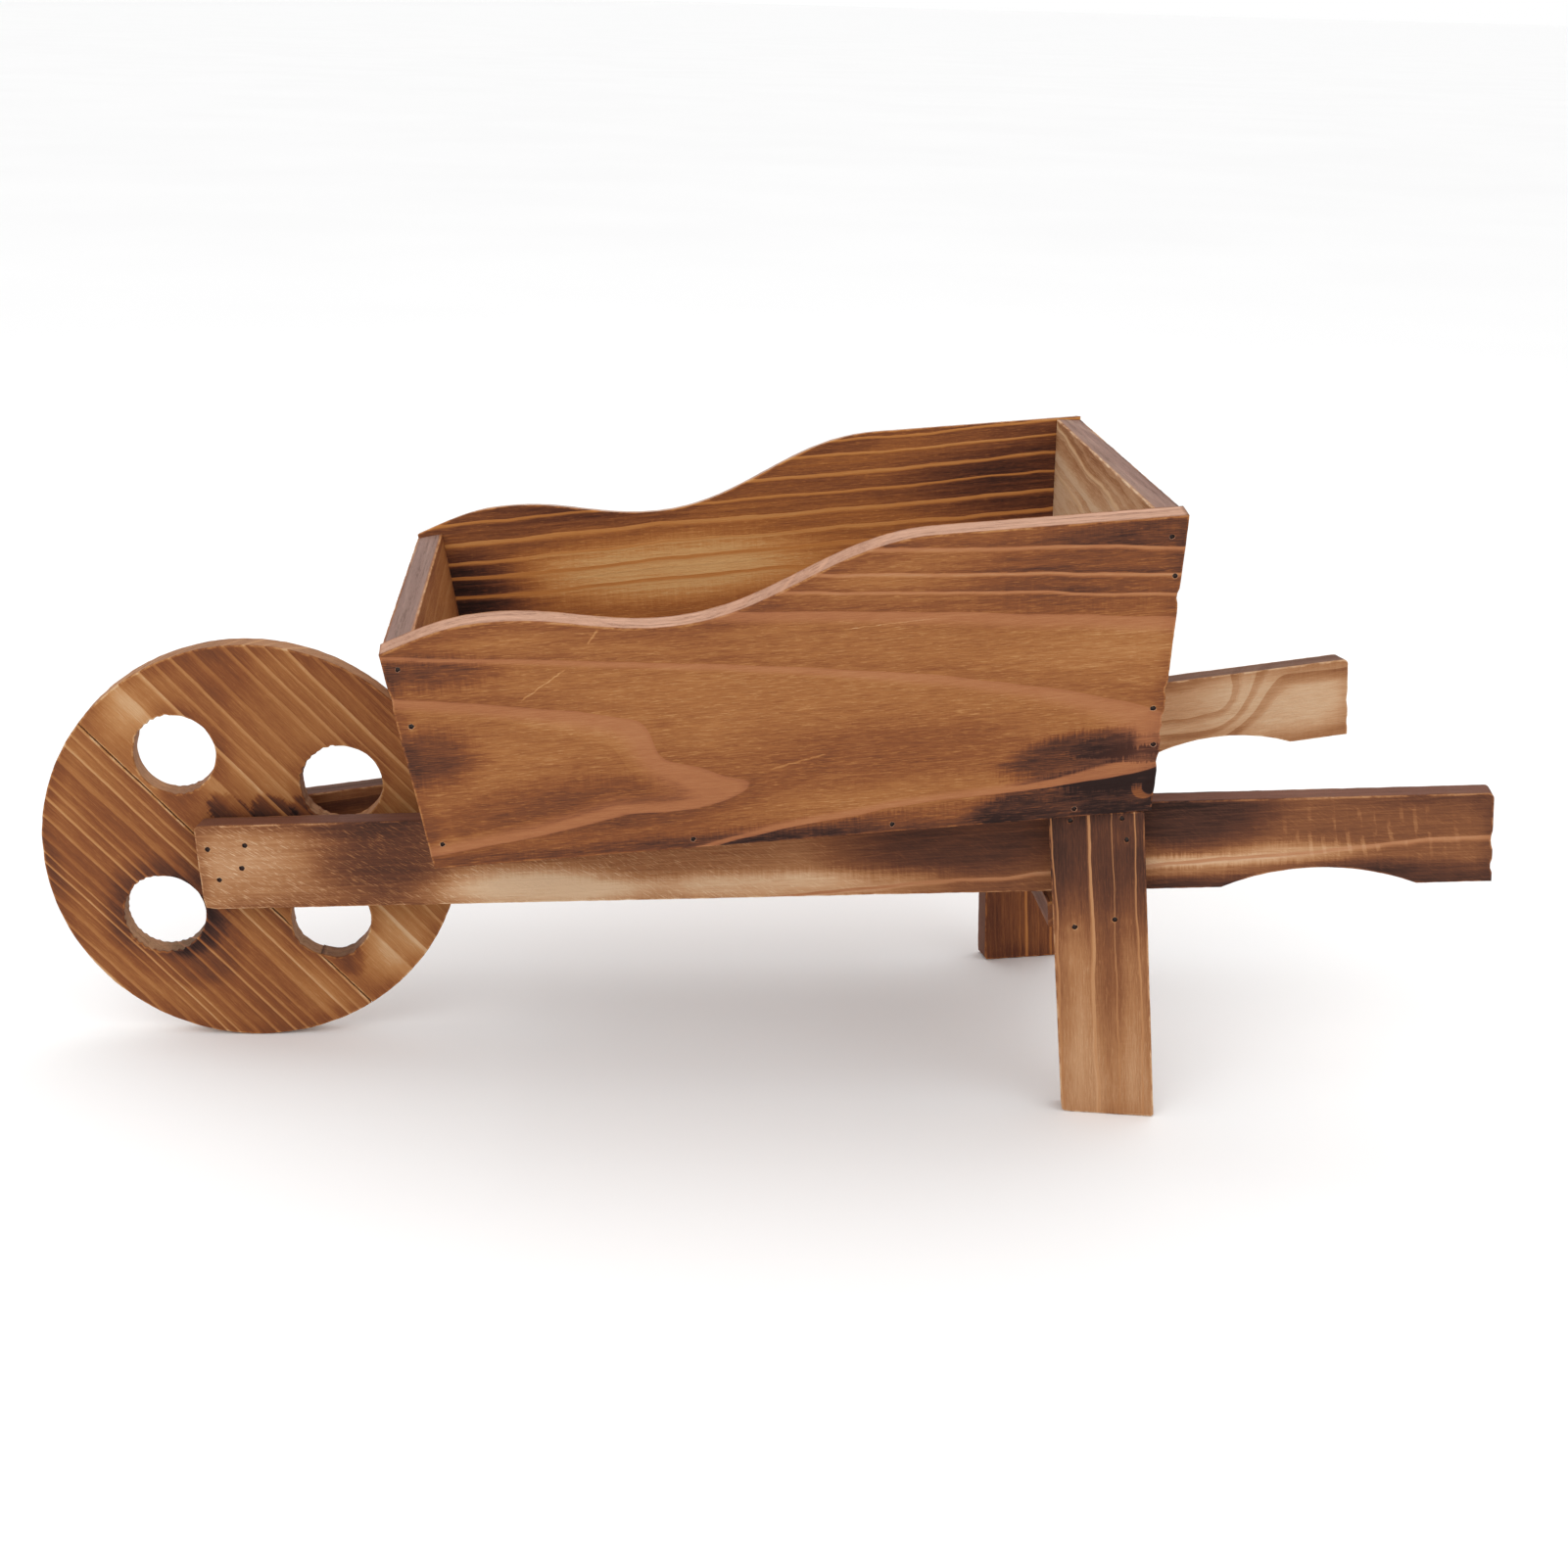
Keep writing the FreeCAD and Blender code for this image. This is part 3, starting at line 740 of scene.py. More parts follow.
class Nodes:
    """One material's node tree; each method adds nodes and returns an output socket."""

    def __init__(self, name):
        self.material = bpy.data.materials.new(name)
        self.material.use_nodes = True
        self.tree = self.material.node_tree
        self.shader = self.tree.nodes["Principled BSDF"]

    def put(self, socket, value):
        if isinstance(value, bpy.types.NodeSocket):
            self.tree.links.new(value, socket)
        else:
            socket.default_value = value

    def add(self, kind, **settings):
        node = self.tree.nodes.new(kind)
        for key, value in settings.items():
            setattr(node, key, value)
        return node

    def math(self, operation, *values, clamp=False):
        node = self.add("ShaderNodeMath", operation=operation, use_clamp=clamp)
        for socket, value in zip(node.inputs, values):
            self.put(socket, value)
        return node.outputs[0]

    def times(self, one, other):
        return self.math("MULTIPLY", one, other)

    def attribute(self, name, output="Fac"):
        node = self.add("ShaderNodeAttribute", attribute_name=name)
        return node.outputs[output]

    def split(self, vector):
        node = self.add("ShaderNodeSeparateXYZ")
        self.put(node.inputs[0], vector)
        return node.outputs

    def join(self, x, y, z):
        node = self.add("ShaderNodeCombineXYZ")
        for socket, value in zip(node.inputs, (x, y, z)):
            self.put(socket, value)
        return node.outputs[0]

    def mapped(self, vector, shift, scale):
        """The vector times scale, plus shift."""
        node = self.add("ShaderNodeMapping")
        self.put(node.inputs["Vector"], vector)
        node.inputs["Location"].default_value = shift
        node.inputs["Scale"].default_value = scale
        return node.outputs[0]

    def length(self, vector):
        node = self.add("ShaderNodeVectorMath", operation="LENGTH")
        self.put(node.inputs[0], vector)
        return node.outputs["Value"]

    def noise(self, vector, sizes, seed, detail=2.0, roughness=0.5):
        """Noise from 0 to 1 whose lumps have these sizes in millimetres along x, y and z."""
        scale = [1 / size for size in sizes]
        shift = (seed * 3.7, seed * 1.9, seed * 5.3)
        node = self.add("ShaderNodeTexNoise")
        self.put(node.inputs["Vector"], self.mapped(vector, shift, scale))
        node.inputs["Scale"].default_value = 1.0
        node.inputs["Detail"].default_value = detail
        node.inputs["Roughness"].default_value = roughness
        return node.outputs["Fac"]

    def range(self, value, low, high, to_low=0.0, to_high=1.0, smooth=True):
        kind = "SMOOTHSTEP" if smooth else "LINEAR"
        node = self.add("ShaderNodeMapRange", interpolation_type=kind)
        for socket, item in zip(node.inputs, (value, low, high, to_low, to_high)):
            self.put(socket, item)
        return node.outputs[0]

    def ramp(self, value, stops):
        """A colour or grey ramp through (position, colour or level) stops."""
        node = self.add("ShaderNodeValToRGB")
        elements = node.color_ramp.elements
        while len(elements) < len(stops):
            elements.new(0.5)
        for element, (position, tint) in zip(elements, stops):
            element.position = position
            element.color = tint if isinstance(tint, tuple) else (tint, tint, tint, 1)
        self.put(node.inputs[0], value)
        return node.outputs[0]

    def mix(self, share, one, other):
        """Two colours mixed, by the colour sockets of a node that has others for other data."""
        node = self.add("ShaderNodeMix", data_type="RGBA")
        self.put(node.inputs[0], share)
        self.put(node.inputs[6], one)
        self.put(node.inputs[7], other)
        return node.outputs[2]

    def weighted(self, terms, total=0.0):
        """The sum of each socket times its weight, added to a start value."""
        for value, weight in terms:
            total = self.math("MULTIPLY_ADD", value, weight, total)
        return total

    def bump(self, height, distance, strength):
        node = self.add("ShaderNodeBump")
        node.inputs["Strength"].default_value = strength
        node.inputs["Distance"].default_value = distance
        self.put(node.inputs["Height"], height)
        self.put(self.shader.inputs["Normal"], node.outputs[0])


# ---- burnt fir ----
TINT_STOPS = (0.0, 0.2, 0.4, 0.58, 0.74, 0.88, 1.0)


def tints(*shades):
    """A board's colours at the tint stops, from pale latewood to char."""
    return tuple((stop, colour(*shade)) for stop, shade in zip(TINT_STOPS, shades))


BROWN = tints((212, 172, 130), (190, 136, 86), (165, 107, 60), (136, 79, 44),
              (103, 60, 40), (68, 42, 34), (42, 26, 23))
GOLD = tints((226, 178, 118), (206, 142, 80), (175, 109, 56), (138, 82, 48),
             (102, 58, 38), (66, 39, 31), (40, 25, 20))
TAN = tints((222, 188, 152), (200, 154, 114), (171, 119, 78), (136, 85, 53),
            (102, 61, 42), (74, 46, 36), (44, 28, 23))


@dataclass
class Fir:
    """How one burnt fir board looks. Lengths are millimetres in its grain frame."""

    name: str
    seed: int
    burn: float = 0.42  # 0 is pale tan, 1 is char
    outer: float = 0.0  # extra burn on the outer face
    tints: tuple = BROWN
    rosy: tuple = colour(174, 112, 76)  # of the pale bands
    rosy_share: float = 0.5  # how much of that colour they take
    edge_tint: tuple = colour(118, 78, 62)  # of the sawn edges
    edge_share: float = 0.7  # how much of that colour they take
    pith: tuple = (40.0, 0.0)  # height of the log's heart across the board, and its slope
    depth: float = 60.0  # of the heart below the outer face
    bow: float = 0.0  # how fast rings widen along the board
    bends: Sequence = ()  # (x, z, reach x, reach z, lift) where the grain swerves
    ring: float = 7.0  # spacing of the rings
    line: float = 0.14  # share of a ring taken by its pale latewood line
    late: float = 0.2  # how far the latewood lines stand out
    shade: float = 0.12  # how much paler a ring gets towards its line
    bands: Sequence = ()  # (ring radius, width, change of burn)
    brink: float = 0.0  # extra burn just inside a band's crisp outer edge
    beyond: float = 0.0  # and just outside it
    sway: float = 3.0  # how far the grain wanders
    blotch: float = 0.2  # how far the burn varies in broad patches
    streak: float = 0.24  # in streaks along the grain
    fibre: float = 0.34  # and from fibre to fibre
    fleck: float = 0.08  # how pale the lifted fibres are
    fleck_end: float = 2000.0  # distance along the board at which they have faded
    slant: float = 0.0  # slope of the brush marks across the grain
    brush: float = 1.0  # how far burns are drawn out by brushing
    marks: Sequence = ()  # (x, z, reach x, reach z, change of burn), soft
    # on the main wheel board these also hold painted shade just above the rails
    scorches: Sequence = ()  # the same, with a firmer edge
    stains: Sequence = ()  # the same, and over the pale bands too
    scratches: Sequence = ()  # (x, z, end x, end z, width)
    knots: Sequence = ()  # (x, z, radius)
    saw: tuple = ()  # (x, z, reach x, reach z) of a patch of saw marks
    halo: float = 0.12  # extra burn near the board's edges
    wear: float = 0.35  # how pale the worn arrises are


FIRM = 0.65  # share of a scorch's reach that is full, so that its edge is firm


def patch(nodes, spot, place, inner=0.3):
    """1 inside an oval patch, fading to 0 from the inner share of its reach outwards."""
    x, z, reach_x, reach_z = place
    scale = (1 / reach_x, 0.0, 1 / reach_z)
    near = nodes.length(nodes.mapped(spot, (-x / reach_x, 0.0, -z / reach_z), scale))
    return nodes.range(near, inner, 1.5 - inner, 1.0, 0.0)


def patches(nodes, spot, marks, inner=0.3):
    """Each mark's oval patch with its weight."""
    return [(patch(nodes, spot, mark[:4], inner), mark[4]) for mark in marks]


def swayed(nodes, look, grain):
    """The grain coordinates with the slow bends of real fibres."""
    slow = nodes.noise(grain, (120, 60, 45), look.seed, 1.0)
    quick = nodes.noise(grain, (26, 20, 12), look.seed + 3, 2.0)
    terms = [(slow, 2 * look.sway), (quick, look.sway)]
    terms += patches(nodes, grain, look.bends)
    x, y, z = nodes.split(grain)
    return x, y, nodes.weighted([(z, 1.0)] + terms, -1.5 * look.sway)


def ring_radius(nodes, look, grain):
    """Distance from the log's heart, whose rings the board's faces cut into lines and flames."""
    x, y, z = swayed(nodes, look, grain)
    heart, slope = look.pith
    across = nodes.math("MULTIPLY_ADD", x, -slope, nodes.math("SUBTRACT", z, heart))
    deep = nodes.math("ADD", y, look.depth)
    square = nodes.times(across, across)
    square = nodes.math("MULTIPLY_ADD", deep, deep, square)
    square = nodes.math("MULTIPLY_ADD", x, look.bow, square)
    return nodes.math("SQRT", nodes.math("MAXIMUM", square, 1.0))


def latewood(nodes, look, radius):
    """Thin pale lines, one to a ring, some strong and some faint, and the share of the ring."""
    uneven = nodes.noise(nodes.join(radius, 0.0, 0.0), (4 * look.ring, 1, 1), look.seed + 5, 2.0)
    phase = nodes.math("MULTIPLY_ADD", radius, 1 / look.ring, nodes.times(uneven, 3.0))
    share = nodes.math("FRACT", phase)
    rise = 1 - 1.9 * look.line
    line = nodes.ramp(share, [(0.0, 0.0), (rise, 0.0), (1 - look.line, 1.0), (0.975, 1.0), (1.0, 0.0)])
    pick = nodes.add("ShaderNodeTexWhiteNoise", noise_dimensions="1D")
    nodes.put(pick.inputs["W"], nodes.math("ADD", nodes.math("FLOOR", phase), look.seed * 3.0))
    strength = nodes.range(pick.outputs["Value"], 0.0, 1.0, 0.2, 1.0, False)
    return nodes.times(line, strength), nodes.times(share, strength)


def band_fields(nodes, look, radius):
    """The few rings that stand out: their change of burn, and how much pale band covers a point."""
    change, cover = 0.0, 0.0
    for outer, width, amount in look.bands:
        rise = nodes.range(radius, outer - width, outer - 0.35 * width)
        drop = nodes.range(radius, outer - 0.1, outer + 0.1, 1.0, 0.0)
        band = nodes.times(rise, drop)
        change = nodes.math("MULTIPLY_ADD", band, amount, change)
        if amount < 0:
            cover = nodes.math("MAXIMUM", band, cover)
            brink = nodes.times(nodes.range(radius, outer - 0.6, outer - 0.1), drop)
            beyond = nodes.range(radius, outer, outer + 1.8 * width, 1.0, 0.0)
            beyond = nodes.times(beyond, nodes.math("SUBTRACT", 1.0, drop))
            change = nodes.weighted([(brink, look.brink), (beyond, look.beyond)], change)
    return change, cover


def feathered(nodes, look, grain):
    """The grain coordinates, roughened so that burns end in fine strokes along and across it."""
    long = nodes.noise(grain, (26, 6, 1.8), look.seed + 7, 3.0, 0.6)
    short = nodes.noise(grain, (1.1, 5, 16), look.seed + 8, 3.0, 0.65)
    x, _, z = nodes.split(grain)
    reach = look.brush
    x = nodes.weighted([(x, 1.0), (long, 44.0 * reach), (short, 8.0 * reach)], -26.0 * reach)
    z = nodes.weighted([(z, 1.0), (long, 6.0 * reach), (short, 14.0 * reach)], -10.0 * reach)
    return nodes.join(x, 0.0, z)


def saw_field(nodes, look, grain, spot):
    """Short straight marks that the saw left across the grain."""
    x, _, z = nodes.split(grain)
    bent = nodes.weighted([(x, 1.0), (nodes.noise(grain, (40, 10, 60), look.seed + 9), 9.0), (z, 0.12)])
    wave = nodes.range(nodes.math("SINE", nodes.times(bent, 1.2)), 0.3, 0.9)
    broken = nodes.range(nodes.noise(grain, (5, 5, 9), look.seed + 11, 2.0), 0.45, 0.6)
    return nodes.times(nodes.times(wave, broken), patch(nodes, spot, look.saw))


def fleck_field(nodes, look, grain):
    """Short pale dashes where the brush lifted the fibres."""
    x, y, z = nodes.split(grain)
    turned = nodes.join(x, y, nodes.math("MULTIPLY_ADD", x, look.slant, z))
    fine = nodes.range(nodes.noise(turned, (3.6, 0.4, 0.34), look.seed + 23, 1.0), 0.58, 0.72)
    loose = nodes.range(nodes.noise(turned, (7, 0.6, 0.5), look.seed + 24, 1.0), 0.66, 0.76)
    return nodes.math("MAXIMUM", fine, loose)


def knot_fields(nodes, look, grain):
    """Dark hearts of knots, and the pale rims round them."""
    heart, rim = 0.0, 0.0
    for x, z, radius in look.knots:
        heart = nodes.math("MAXIMUM", patch(nodes, grain, (x, z, radius, radius), 0.6), heart)
        around = patch(nodes, grain, (x - 0.6 * radius, z, 1.7 * radius, 1.7 * radius), 0.7)
        rim = nodes.math("MAXIMUM", nodes.math("SUBTRACT", around, heart, clamp=True), rim)
    return heart, rim


def scratch_field(nodes, look, grain):
    """Pale hairline scratches, 1 along their middle."""
    shaken = nodes.noise(grain, (3, 3, 1.5), look.seed + 31, 2.0)
    x, _, z = nodes.split(grain)
    field = nodes.times(shaken, 0.0)
    for x0, z0, x1, z1, width in look.scratches:
        long = math.hypot(x1 - x0, z1 - z0)
        run, rise = (x1 - x0) / long, (z1 - z0) / long
        along = nodes.weighted([(x, run), (z, rise)], -x0 * run - z0 * rise)
        aside = nodes.weighted([(z, run), (x, -rise), (shaken, 1.2)], x0 * rise - z0 * run - 0.6)
        line = nodes.range(nodes.math("ABSOLUTE", aside), 0.3 * width, 0.6 * width, 1.0, 0.0)
        middle = nodes.math("ABSOLUTE", nodes.math("ADD", along, -0.5 * long))
        line = nodes.times(line, nodes.range(middle, 0.35 * long, 0.5 * long, 1.0, 0.0))
        field = nodes.math("MAXIMUM", line, field)
    return field


def burn_field(nodes, look, grain, parts):
    """How burnt each point is, from 0 for pale latewood to 1 for char, before the fine lines."""
    spot = feathered(nodes, look, grain)
    # the firm marks also carry the main wheel's painted shade along the rails' top edge, added like burn
    marks = patches(nodes, spot, look.marks) + patches(nodes, spot, look.scorches, FIRM)
    bared = nodes.range(parts["cover"], 0.75, 1.0, 1.0, 0.2)
    ragged = nodes.math("MULTIPLY_ADD", parts["blotch"], -14.0, nodes.attribute("edge_gap"))
    halo = nodes.range(ragged, -7.5, 2.5, look.halo, 0.0)
    slow = [(parts["blotch"], 2 * look.blotch), (parts["streak"], look.streak), (halo, 1.0),
            (parts["share"], -look.shade), (parts["fibre"], look.fibre), (parts["bands"], 1.0),
            (nodes.range(nodes.split(grain)[1], -7.0, -4.0), look.outer)]
    base = look.burn - look.blotch - 0.5 * (look.streak + look.fibre) + 0.3 * look.shade
    burn = nodes.weighted(slow, base)
    if marks:
        burn = nodes.math("MULTIPLY_ADD", nodes.weighted(marks), bared, burn)
    stains = patches(nodes, spot, look.stains, FIRM)
    burn = nodes.weighted(stains + [(scratch_field(nodes, look, grain), -0.22)], burn)
    if look.saw:
        burn = nodes.math("MULTIPLY_ADD", saw_field(nodes, look, grain, spot), -0.13, burn)
    return burn


def edge_colour(nodes, look, parts):
    """Colour of the sawn edges: fine lines along the grain round the look's edge tint."""
    red, green, blue, alpha = look.edge_tint
    dark = (0.55 * red, 0.5 * green, 0.48 * blue, alpha)
    pale = (min(0.8, 1.3 * red), min(0.75, 1.32 * green), min(0.7, 1.34 * blue), alpha)
    lines = nodes.weighted([(parts["streak"], 1.0), (parts["fibre"], 1.0)], -0.5)
    return nodes.ramp(lines, [(0.28, dark), (0.46, look.edge_tint), (0.56, look.edge_tint), (0.74, pale)])


def wood_parts(nodes, look, grain):
    """The fields that the wood's colour, shine and relief share."""
    radius = ring_radius(nodes, look, grain)
    parts = {}
    parts["late"], parts["share"] = latewood(nodes, look, radius)
    parts["bands"], parts["cover"] = band_fields(nodes, look, radius)
    parts["blotch"] = nodes.noise(grain, (75, 40, 24), look.seed + 13, 3.0, 0.55)
    parts["streak"] = nodes.noise(grain, (70, 1.9, 1.9), look.seed + 17, 3.0, 0.65)
    parts["fibre"] = nodes.noise(grain, (9, 0.5, 0.42), look.seed + 19, 3.0, 0.75)
    smooth = nodes.range(parts["cover"], 0.0, 1.0, 1.0, 0.35, False)
    lasting = nodes.range(nodes.split(grain)[0], 0.5 * look.fleck_end, look.fleck_end, 1.0, 0.25)
    parts["fleck"] = nodes.times(nodes.times(fleck_field(nodes, look, grain), smooth), lasting)
    return parts


def fine_burn(nodes, look, grain, parts):
    """The burn field with its fine lines, flecks, wear and knots."""
    burn = burn_field(nodes, look, grain, parts)
    late = nodes.times(parts["late"], nodes.range(burn, 0.2, 0.8, 0.6, 1.4))
    patchy = nodes.range(nodes.noise(grain, (9, 3, 3), look.seed + 29, 3.0, 0.7), 0.38, 0.60)
    wear = nodes.times(nodes.attribute("worn"), patchy)
    fine = [(burn, 1.0), (late, -look.late), (parts["fleck"], -look.fleck), (wear, -look.wear)]
    if look.knots:
        heart, rim = knot_fields(nodes, look, grain)
        fine += [(heart, 0.4), (rim, -0.3)]
    return nodes.math("MAXIMUM", nodes.weighted(fine), 0.0)


def fir_colour(nodes, look, parts, burn):
    """The wood's colour for its burn, with its rosy bands, sawn edges and dark pits."""
    cut = nodes.attribute("cut")
    rosy = nodes.mix(nodes.range(burn, 0.45, 0.95), look.rosy, colour(92, 52, 38))
    tint = nodes.mix(nodes.times(parts["cover"], look.rosy_share), nodes.ramp(burn, look.tints), rosy)
    sawn = nodes.range(cut, CUT_FACE, CUT_SAWN, 0.0, look.edge_share, False)
    tint = nodes.mix(sawn, tint, edge_colour(nodes, look, parts))
    return nodes.mix(nodes.range(cut, 1.1, 1.7), tint, colour(40, 26, 22))


def fir_material(look):
    """Burnt and brushed fir: one burn field, from pale latewood to char, drives the whole surface."""
    nodes = Nodes(look.name)
    grain = nodes.attribute("grain", "Vector")
    parts = wood_parts(nodes, look, grain)
    burn = fine_burn(nodes, look, grain, parts)
    nodes.put(nodes.shader.inputs["Base Color"], fir_colour(nodes, look, parts, burn))
    rough = nodes.weighted([(burn, 0.2), (parts["fibre"], 0.2), (parts["late"], -0.06)], 0.46)
    nodes.put(nodes.shader.inputs["Roughness"], rough)
    nodes.shader.inputs["Specular IOR Level"].default_value = 0.14
    height = [(parts["fibre"], 0.6), (parts["streak"], 0.3), (parts["late"], 0.35), (parts["fleck"], 0.2)]
    if look.bands:
        height.append((parts["cover"], 0.25))
    nodes.bump(nodes.weighted(height), 0.0003, 0.9)
    return nodes.material


def steel_material():
    """Dull wire steel with a little rust."""
    nodes = Nodes("dull_steel")
    place = nodes.add("ShaderNodeTexCoord").outputs["Object"]
    rust = nodes.range(nodes.noise(place, (0.0011, 0.0011, 0.0011), 3, 3.0), 0.42, 0.62)
    tint = nodes.mix(rust, colour(50, 40, 36), colour(66, 38, 28))
    nodes.put(nodes.shader.inputs["Base Color"], tint)
    nodes.put(nodes.shader.inputs["Roughness"], nodes.range(rust, 0.0, 1.0, 0.45, 0.8, False))
    nodes.shader.inputs["Metallic"].default_value = 0.4
    nodes.bump(rust, 0.0001, 0.5)
    return nodes.material


def dowel_material():
    """Plain turned dowel, lightly scorched, with its grain along Y."""
    nodes = Nodes("dowel_wood")
    place = nodes.add("ShaderNodeTexCoord").outputs["Object"]
    streak = nodes.noise(place, (0.0012, 0.03, 0.0012), 5, 3.0, 0.6)
    burn = nodes.range(streak, 0.3, 0.7, 0.3, 0.6, False)
    nodes.put(nodes.shader.inputs["Base Color"], nodes.ramp(burn, BROWN))
    nodes.put(nodes.shader.inputs["Roughness"], nodes.range(streak, 0.3, 0.7, 0.55, 0.75, False))
    nodes.bump(streak, 0.0002, 0.6)
    return nodes.material


# ---- each board's own wood ----
def left_side_look():
    """Flame grain that opens forwards, with the last burn marks near the rear lower corner."""
    bands = [(36.5, 7.0, 0.05), (41.6, 5.0, -0.07), (57.6, 2.8, -0.10), (75.0, 5.0, -0.10),
             (81.6, 1.4, -0.28), (87.8, 1.8, -0.3), (96.5, 2.0, -0.24)]
    marks = [(6, 84, 34, 8, 0.28), (4, 48, 22, 16, 0.3), (60, 22, 76, 16, 0.18), (70, 60, 40, 8, -0.05),
             (90, -2, 100, 10, 0.22), (270, 106, 76, 17, 0.2), (288, 120, 44, 8, 0.16),
             (262, 73, 60, 9, -0.06), (195, 36, 70, 18, 0.12), (170, 0, 70, 10, 0.16), (110, 8, 60, 8, 0.08)]
    scorches = [(279, 25, 68, 18, 0.3), (272, 4, 76, 22, 0.34), (215, 0, 90, 14, 0.1),
                (290, 14, 50, 26, 0.14)]
    scratches = [(73, 97, 68, 91, 0.9), (60, 82, 40, 69, 0.6), (134, 32, 158, 37, 0.8),
                 (164, 89, 205, 91, 0.5)]
    return Fir("fir_left_side", 1, burn=0.45, rosy=colour(170, 108, 75), rosy_share=0.55,
               pith=(39.5, -0.015), depth=23.6, bow=9.3, ring=5.2, late=0.03, shade=0.0,
               bends=[(108, 36, 36, 23, 16.0), (172, 4, 85, 20, -6.0), (320, 20, 60, 24, 7.5)],
               bands=bands, brink=0.1, beyond=0.09, marks=marks, scorches=scorches,
               stains=[(304, 26, 46, 6.5, 0.3), (276, 30, 30, 7, 0.12)], scratches=scratches,
               knots=[(286, 11, 4.0)], sway=2.2, blotch=0.12, fibre=0.6, fleck=0.15, brush=0.55,
               edge_tint=colour(208, 163, 137), edge_share=0.9)


def right_side_look():
    """Nearly straight grain, charred between its golden lines at both ends."""
    bands = [(149.6, 2.6, -0.36), (141.0, 2.2, -0.34), (166.8, 2.2, -0.36), (175.2, 1.6, -0.36),
             (181.5, 1.4, -0.34), (158.0, 1.8, -0.24), (134.0, 3.0, -0.16), (125.5, 3.0, -0.14)]
    marks = [(104, 69, 90, 17, -0.44), (60, 98, 70, 9, 0.1), (200, 100, 90, 16, 0.1), (10, 88, 60, 10, 0.1),
             (2, 64, 44, 22, 0.46), (290, 98, 76, 34, 0.3)]
    return Fir("fir_right_side", 2, burn=0.48, tints=GOLD, rosy=colour(200, 132, 68), rosy_share=0.7,
               pith=(-60.0, 0.015), depth=31.5, ring=3.6, line=0.2, late=0.06, shade=0.0, bands=bands,
               marks=marks, sway=2.6, blotch=0.14, streak=0.36, fibre=0.5, fleck=0.14, brush=0.35,
               edge_tint=colour(206, 176, 156), edge_share=0.9)


def left_rail_look():
    """Blown dark near the front and the leg, with a pale lower band between."""
    marks = [(82, -15, 36, 24, 0.32), (14, -22, 40, 14, -0.06), (144, -33, 52, 12, -0.56),
             (245, -33, 90, 8, -0.42), (160, -10, 60, 12, 0.06), (326, -14, 66, 24, 0.36),
             (20, -12, 34, 14, -0.1), (412, -8, 46, 17, 0.42), (418, -26, 46, 3.4, -0.3),
             (462, -23, 34, 5, -0.24), (424, -37, 46, 6, 0.26), (505, -35, 60, 9, 0.26),
             (500, -12, 70, 20, 0.16)]
    return Fir("fir_left_rail", 3, burn=0.48, tints=TAN, pith=(-112.0, 0.06), depth=12.0, ring=4.0,
               late=0.05, shade=0.0, bands=[(62.0, 2.6, -0.2)], marks=marks, saw=(488, -16, 46, 16),
               fleck=0.3, fleck_end=300.0, slant=0.6, brush=0.28, blotch=0.12, streak=0.2, halo=0.16,
               edge_tint=colour(124, 82, 66), edge_share=0.85)


def right_rail_look():
    """Its grip shows the swirl of grain round a knot."""
    marks = [(395, -20, 60, 24, -0.16), (495, -18, 80, 26, -0.3), (60, -20, 80, 20, 0.2),
             (454, -14, 20, 20, 0.06)]
    return Fir("fir_right_rail", 4, burn=0.41, tints=TAN, pith=(-70.0, 0.0), depth=40.0, ring=3.4,
               line=0.1, late=0.03, shade=0.0, bends=[(452, -22, 52, 34, 30.0)],
               bands=[(72.0, 7.0, 0.2), (79.0, 4.0, 0.18), (86.0, 4.0, 0.16)], marks=marks, fleck=0.05,
               streak=0.16, brush=0.5, edge_tint=colour(108, 76, 62), edge_share=0.85)


def left_leg_look():
    """Dark at the top, pale at the foot, with upright lines."""
    bands = [(33.2, 1.2, -0.1), (47.5, 2.2, -0.2), (56.3, 0.7, -0.05), (65.4, 1.2, -0.1)]
    marks = [(84, 24, 70, 8, 0.14), (80, 8, 50, 8, -0.08), (130, 19, 52, 40, -0.2), (2, 19, 58, 60, 0.37)]
    return Fir("fir_left_leg", 9, burn=0.46, tints=TAN, rosy=colour(190, 134, 88), pith=(-30.0, 0.02),
               depth=12.0, ring=3.2, late=0.03, shade=0.0, bands=bands, marks=marks, brush=0.25,
               streak=0.16, blotch=0.12, halo=0.08, edge_tint=colour(124, 84, 62))


def right_leg_look():
    return Fir("fir_right_leg", 10, burn=0.61, tints=GOLD, rosy=colour(176, 110, 60), pith=(-30.0, 0.0),
               depth=12.0, ring=3.6, late=0.08, bands=[(45.5, 1.6, -0.3), (58.0, 1.6, -0.26)],
               blotch=0.12, halo=0.08)


def front_look():
    return Fir("fir_front", 5, outer=0.1, pith=(60.0, 0.02), depth=36.0, ring=5.0, late=0.12,
               bands=[(44.0, 3.0, -0.16), (56.0, 3.0, -0.14)], edge_tint=colour(140, 112, 102),
               edge_share=0.9)


def rear_look():
    """Broad golden arches, browner below the top edge."""
    return Fir("fir_rear", 6, burn=0.05, outer=0.4, tints=TAN, rosy=colour(222, 176, 126),
               pith=(150.0, 0.10), depth=26.0, ring=8.0, line=0.26, late=0.3, shade=0.1,
               bands=[(59.0, 3.0, -0.2), (41.0, 2.4, -0.2)],
               marks=[(0, 122, 300, 22, 0.26), (-60, 60, 90, 30, 0.04)], sway=6.0, fibre=0.5, brush=0.3,
               edge_tint=colour(146, 114, 102), edge_share=0.9)


def floor_look():
    return Fir("fir_floor", 7, burn=0.5)


def brace_look():
    return Fir("fir_brace", 8, burn=0.48)


def wheel_look(name, seed, **looks):
    """What the wheel's two boards share."""
    return Fir(name, seed, sway=1.2, streak=0.18, brush=0.3, edge_tint=colour(196, 150, 110),
               edge_share=0.85, **looks)


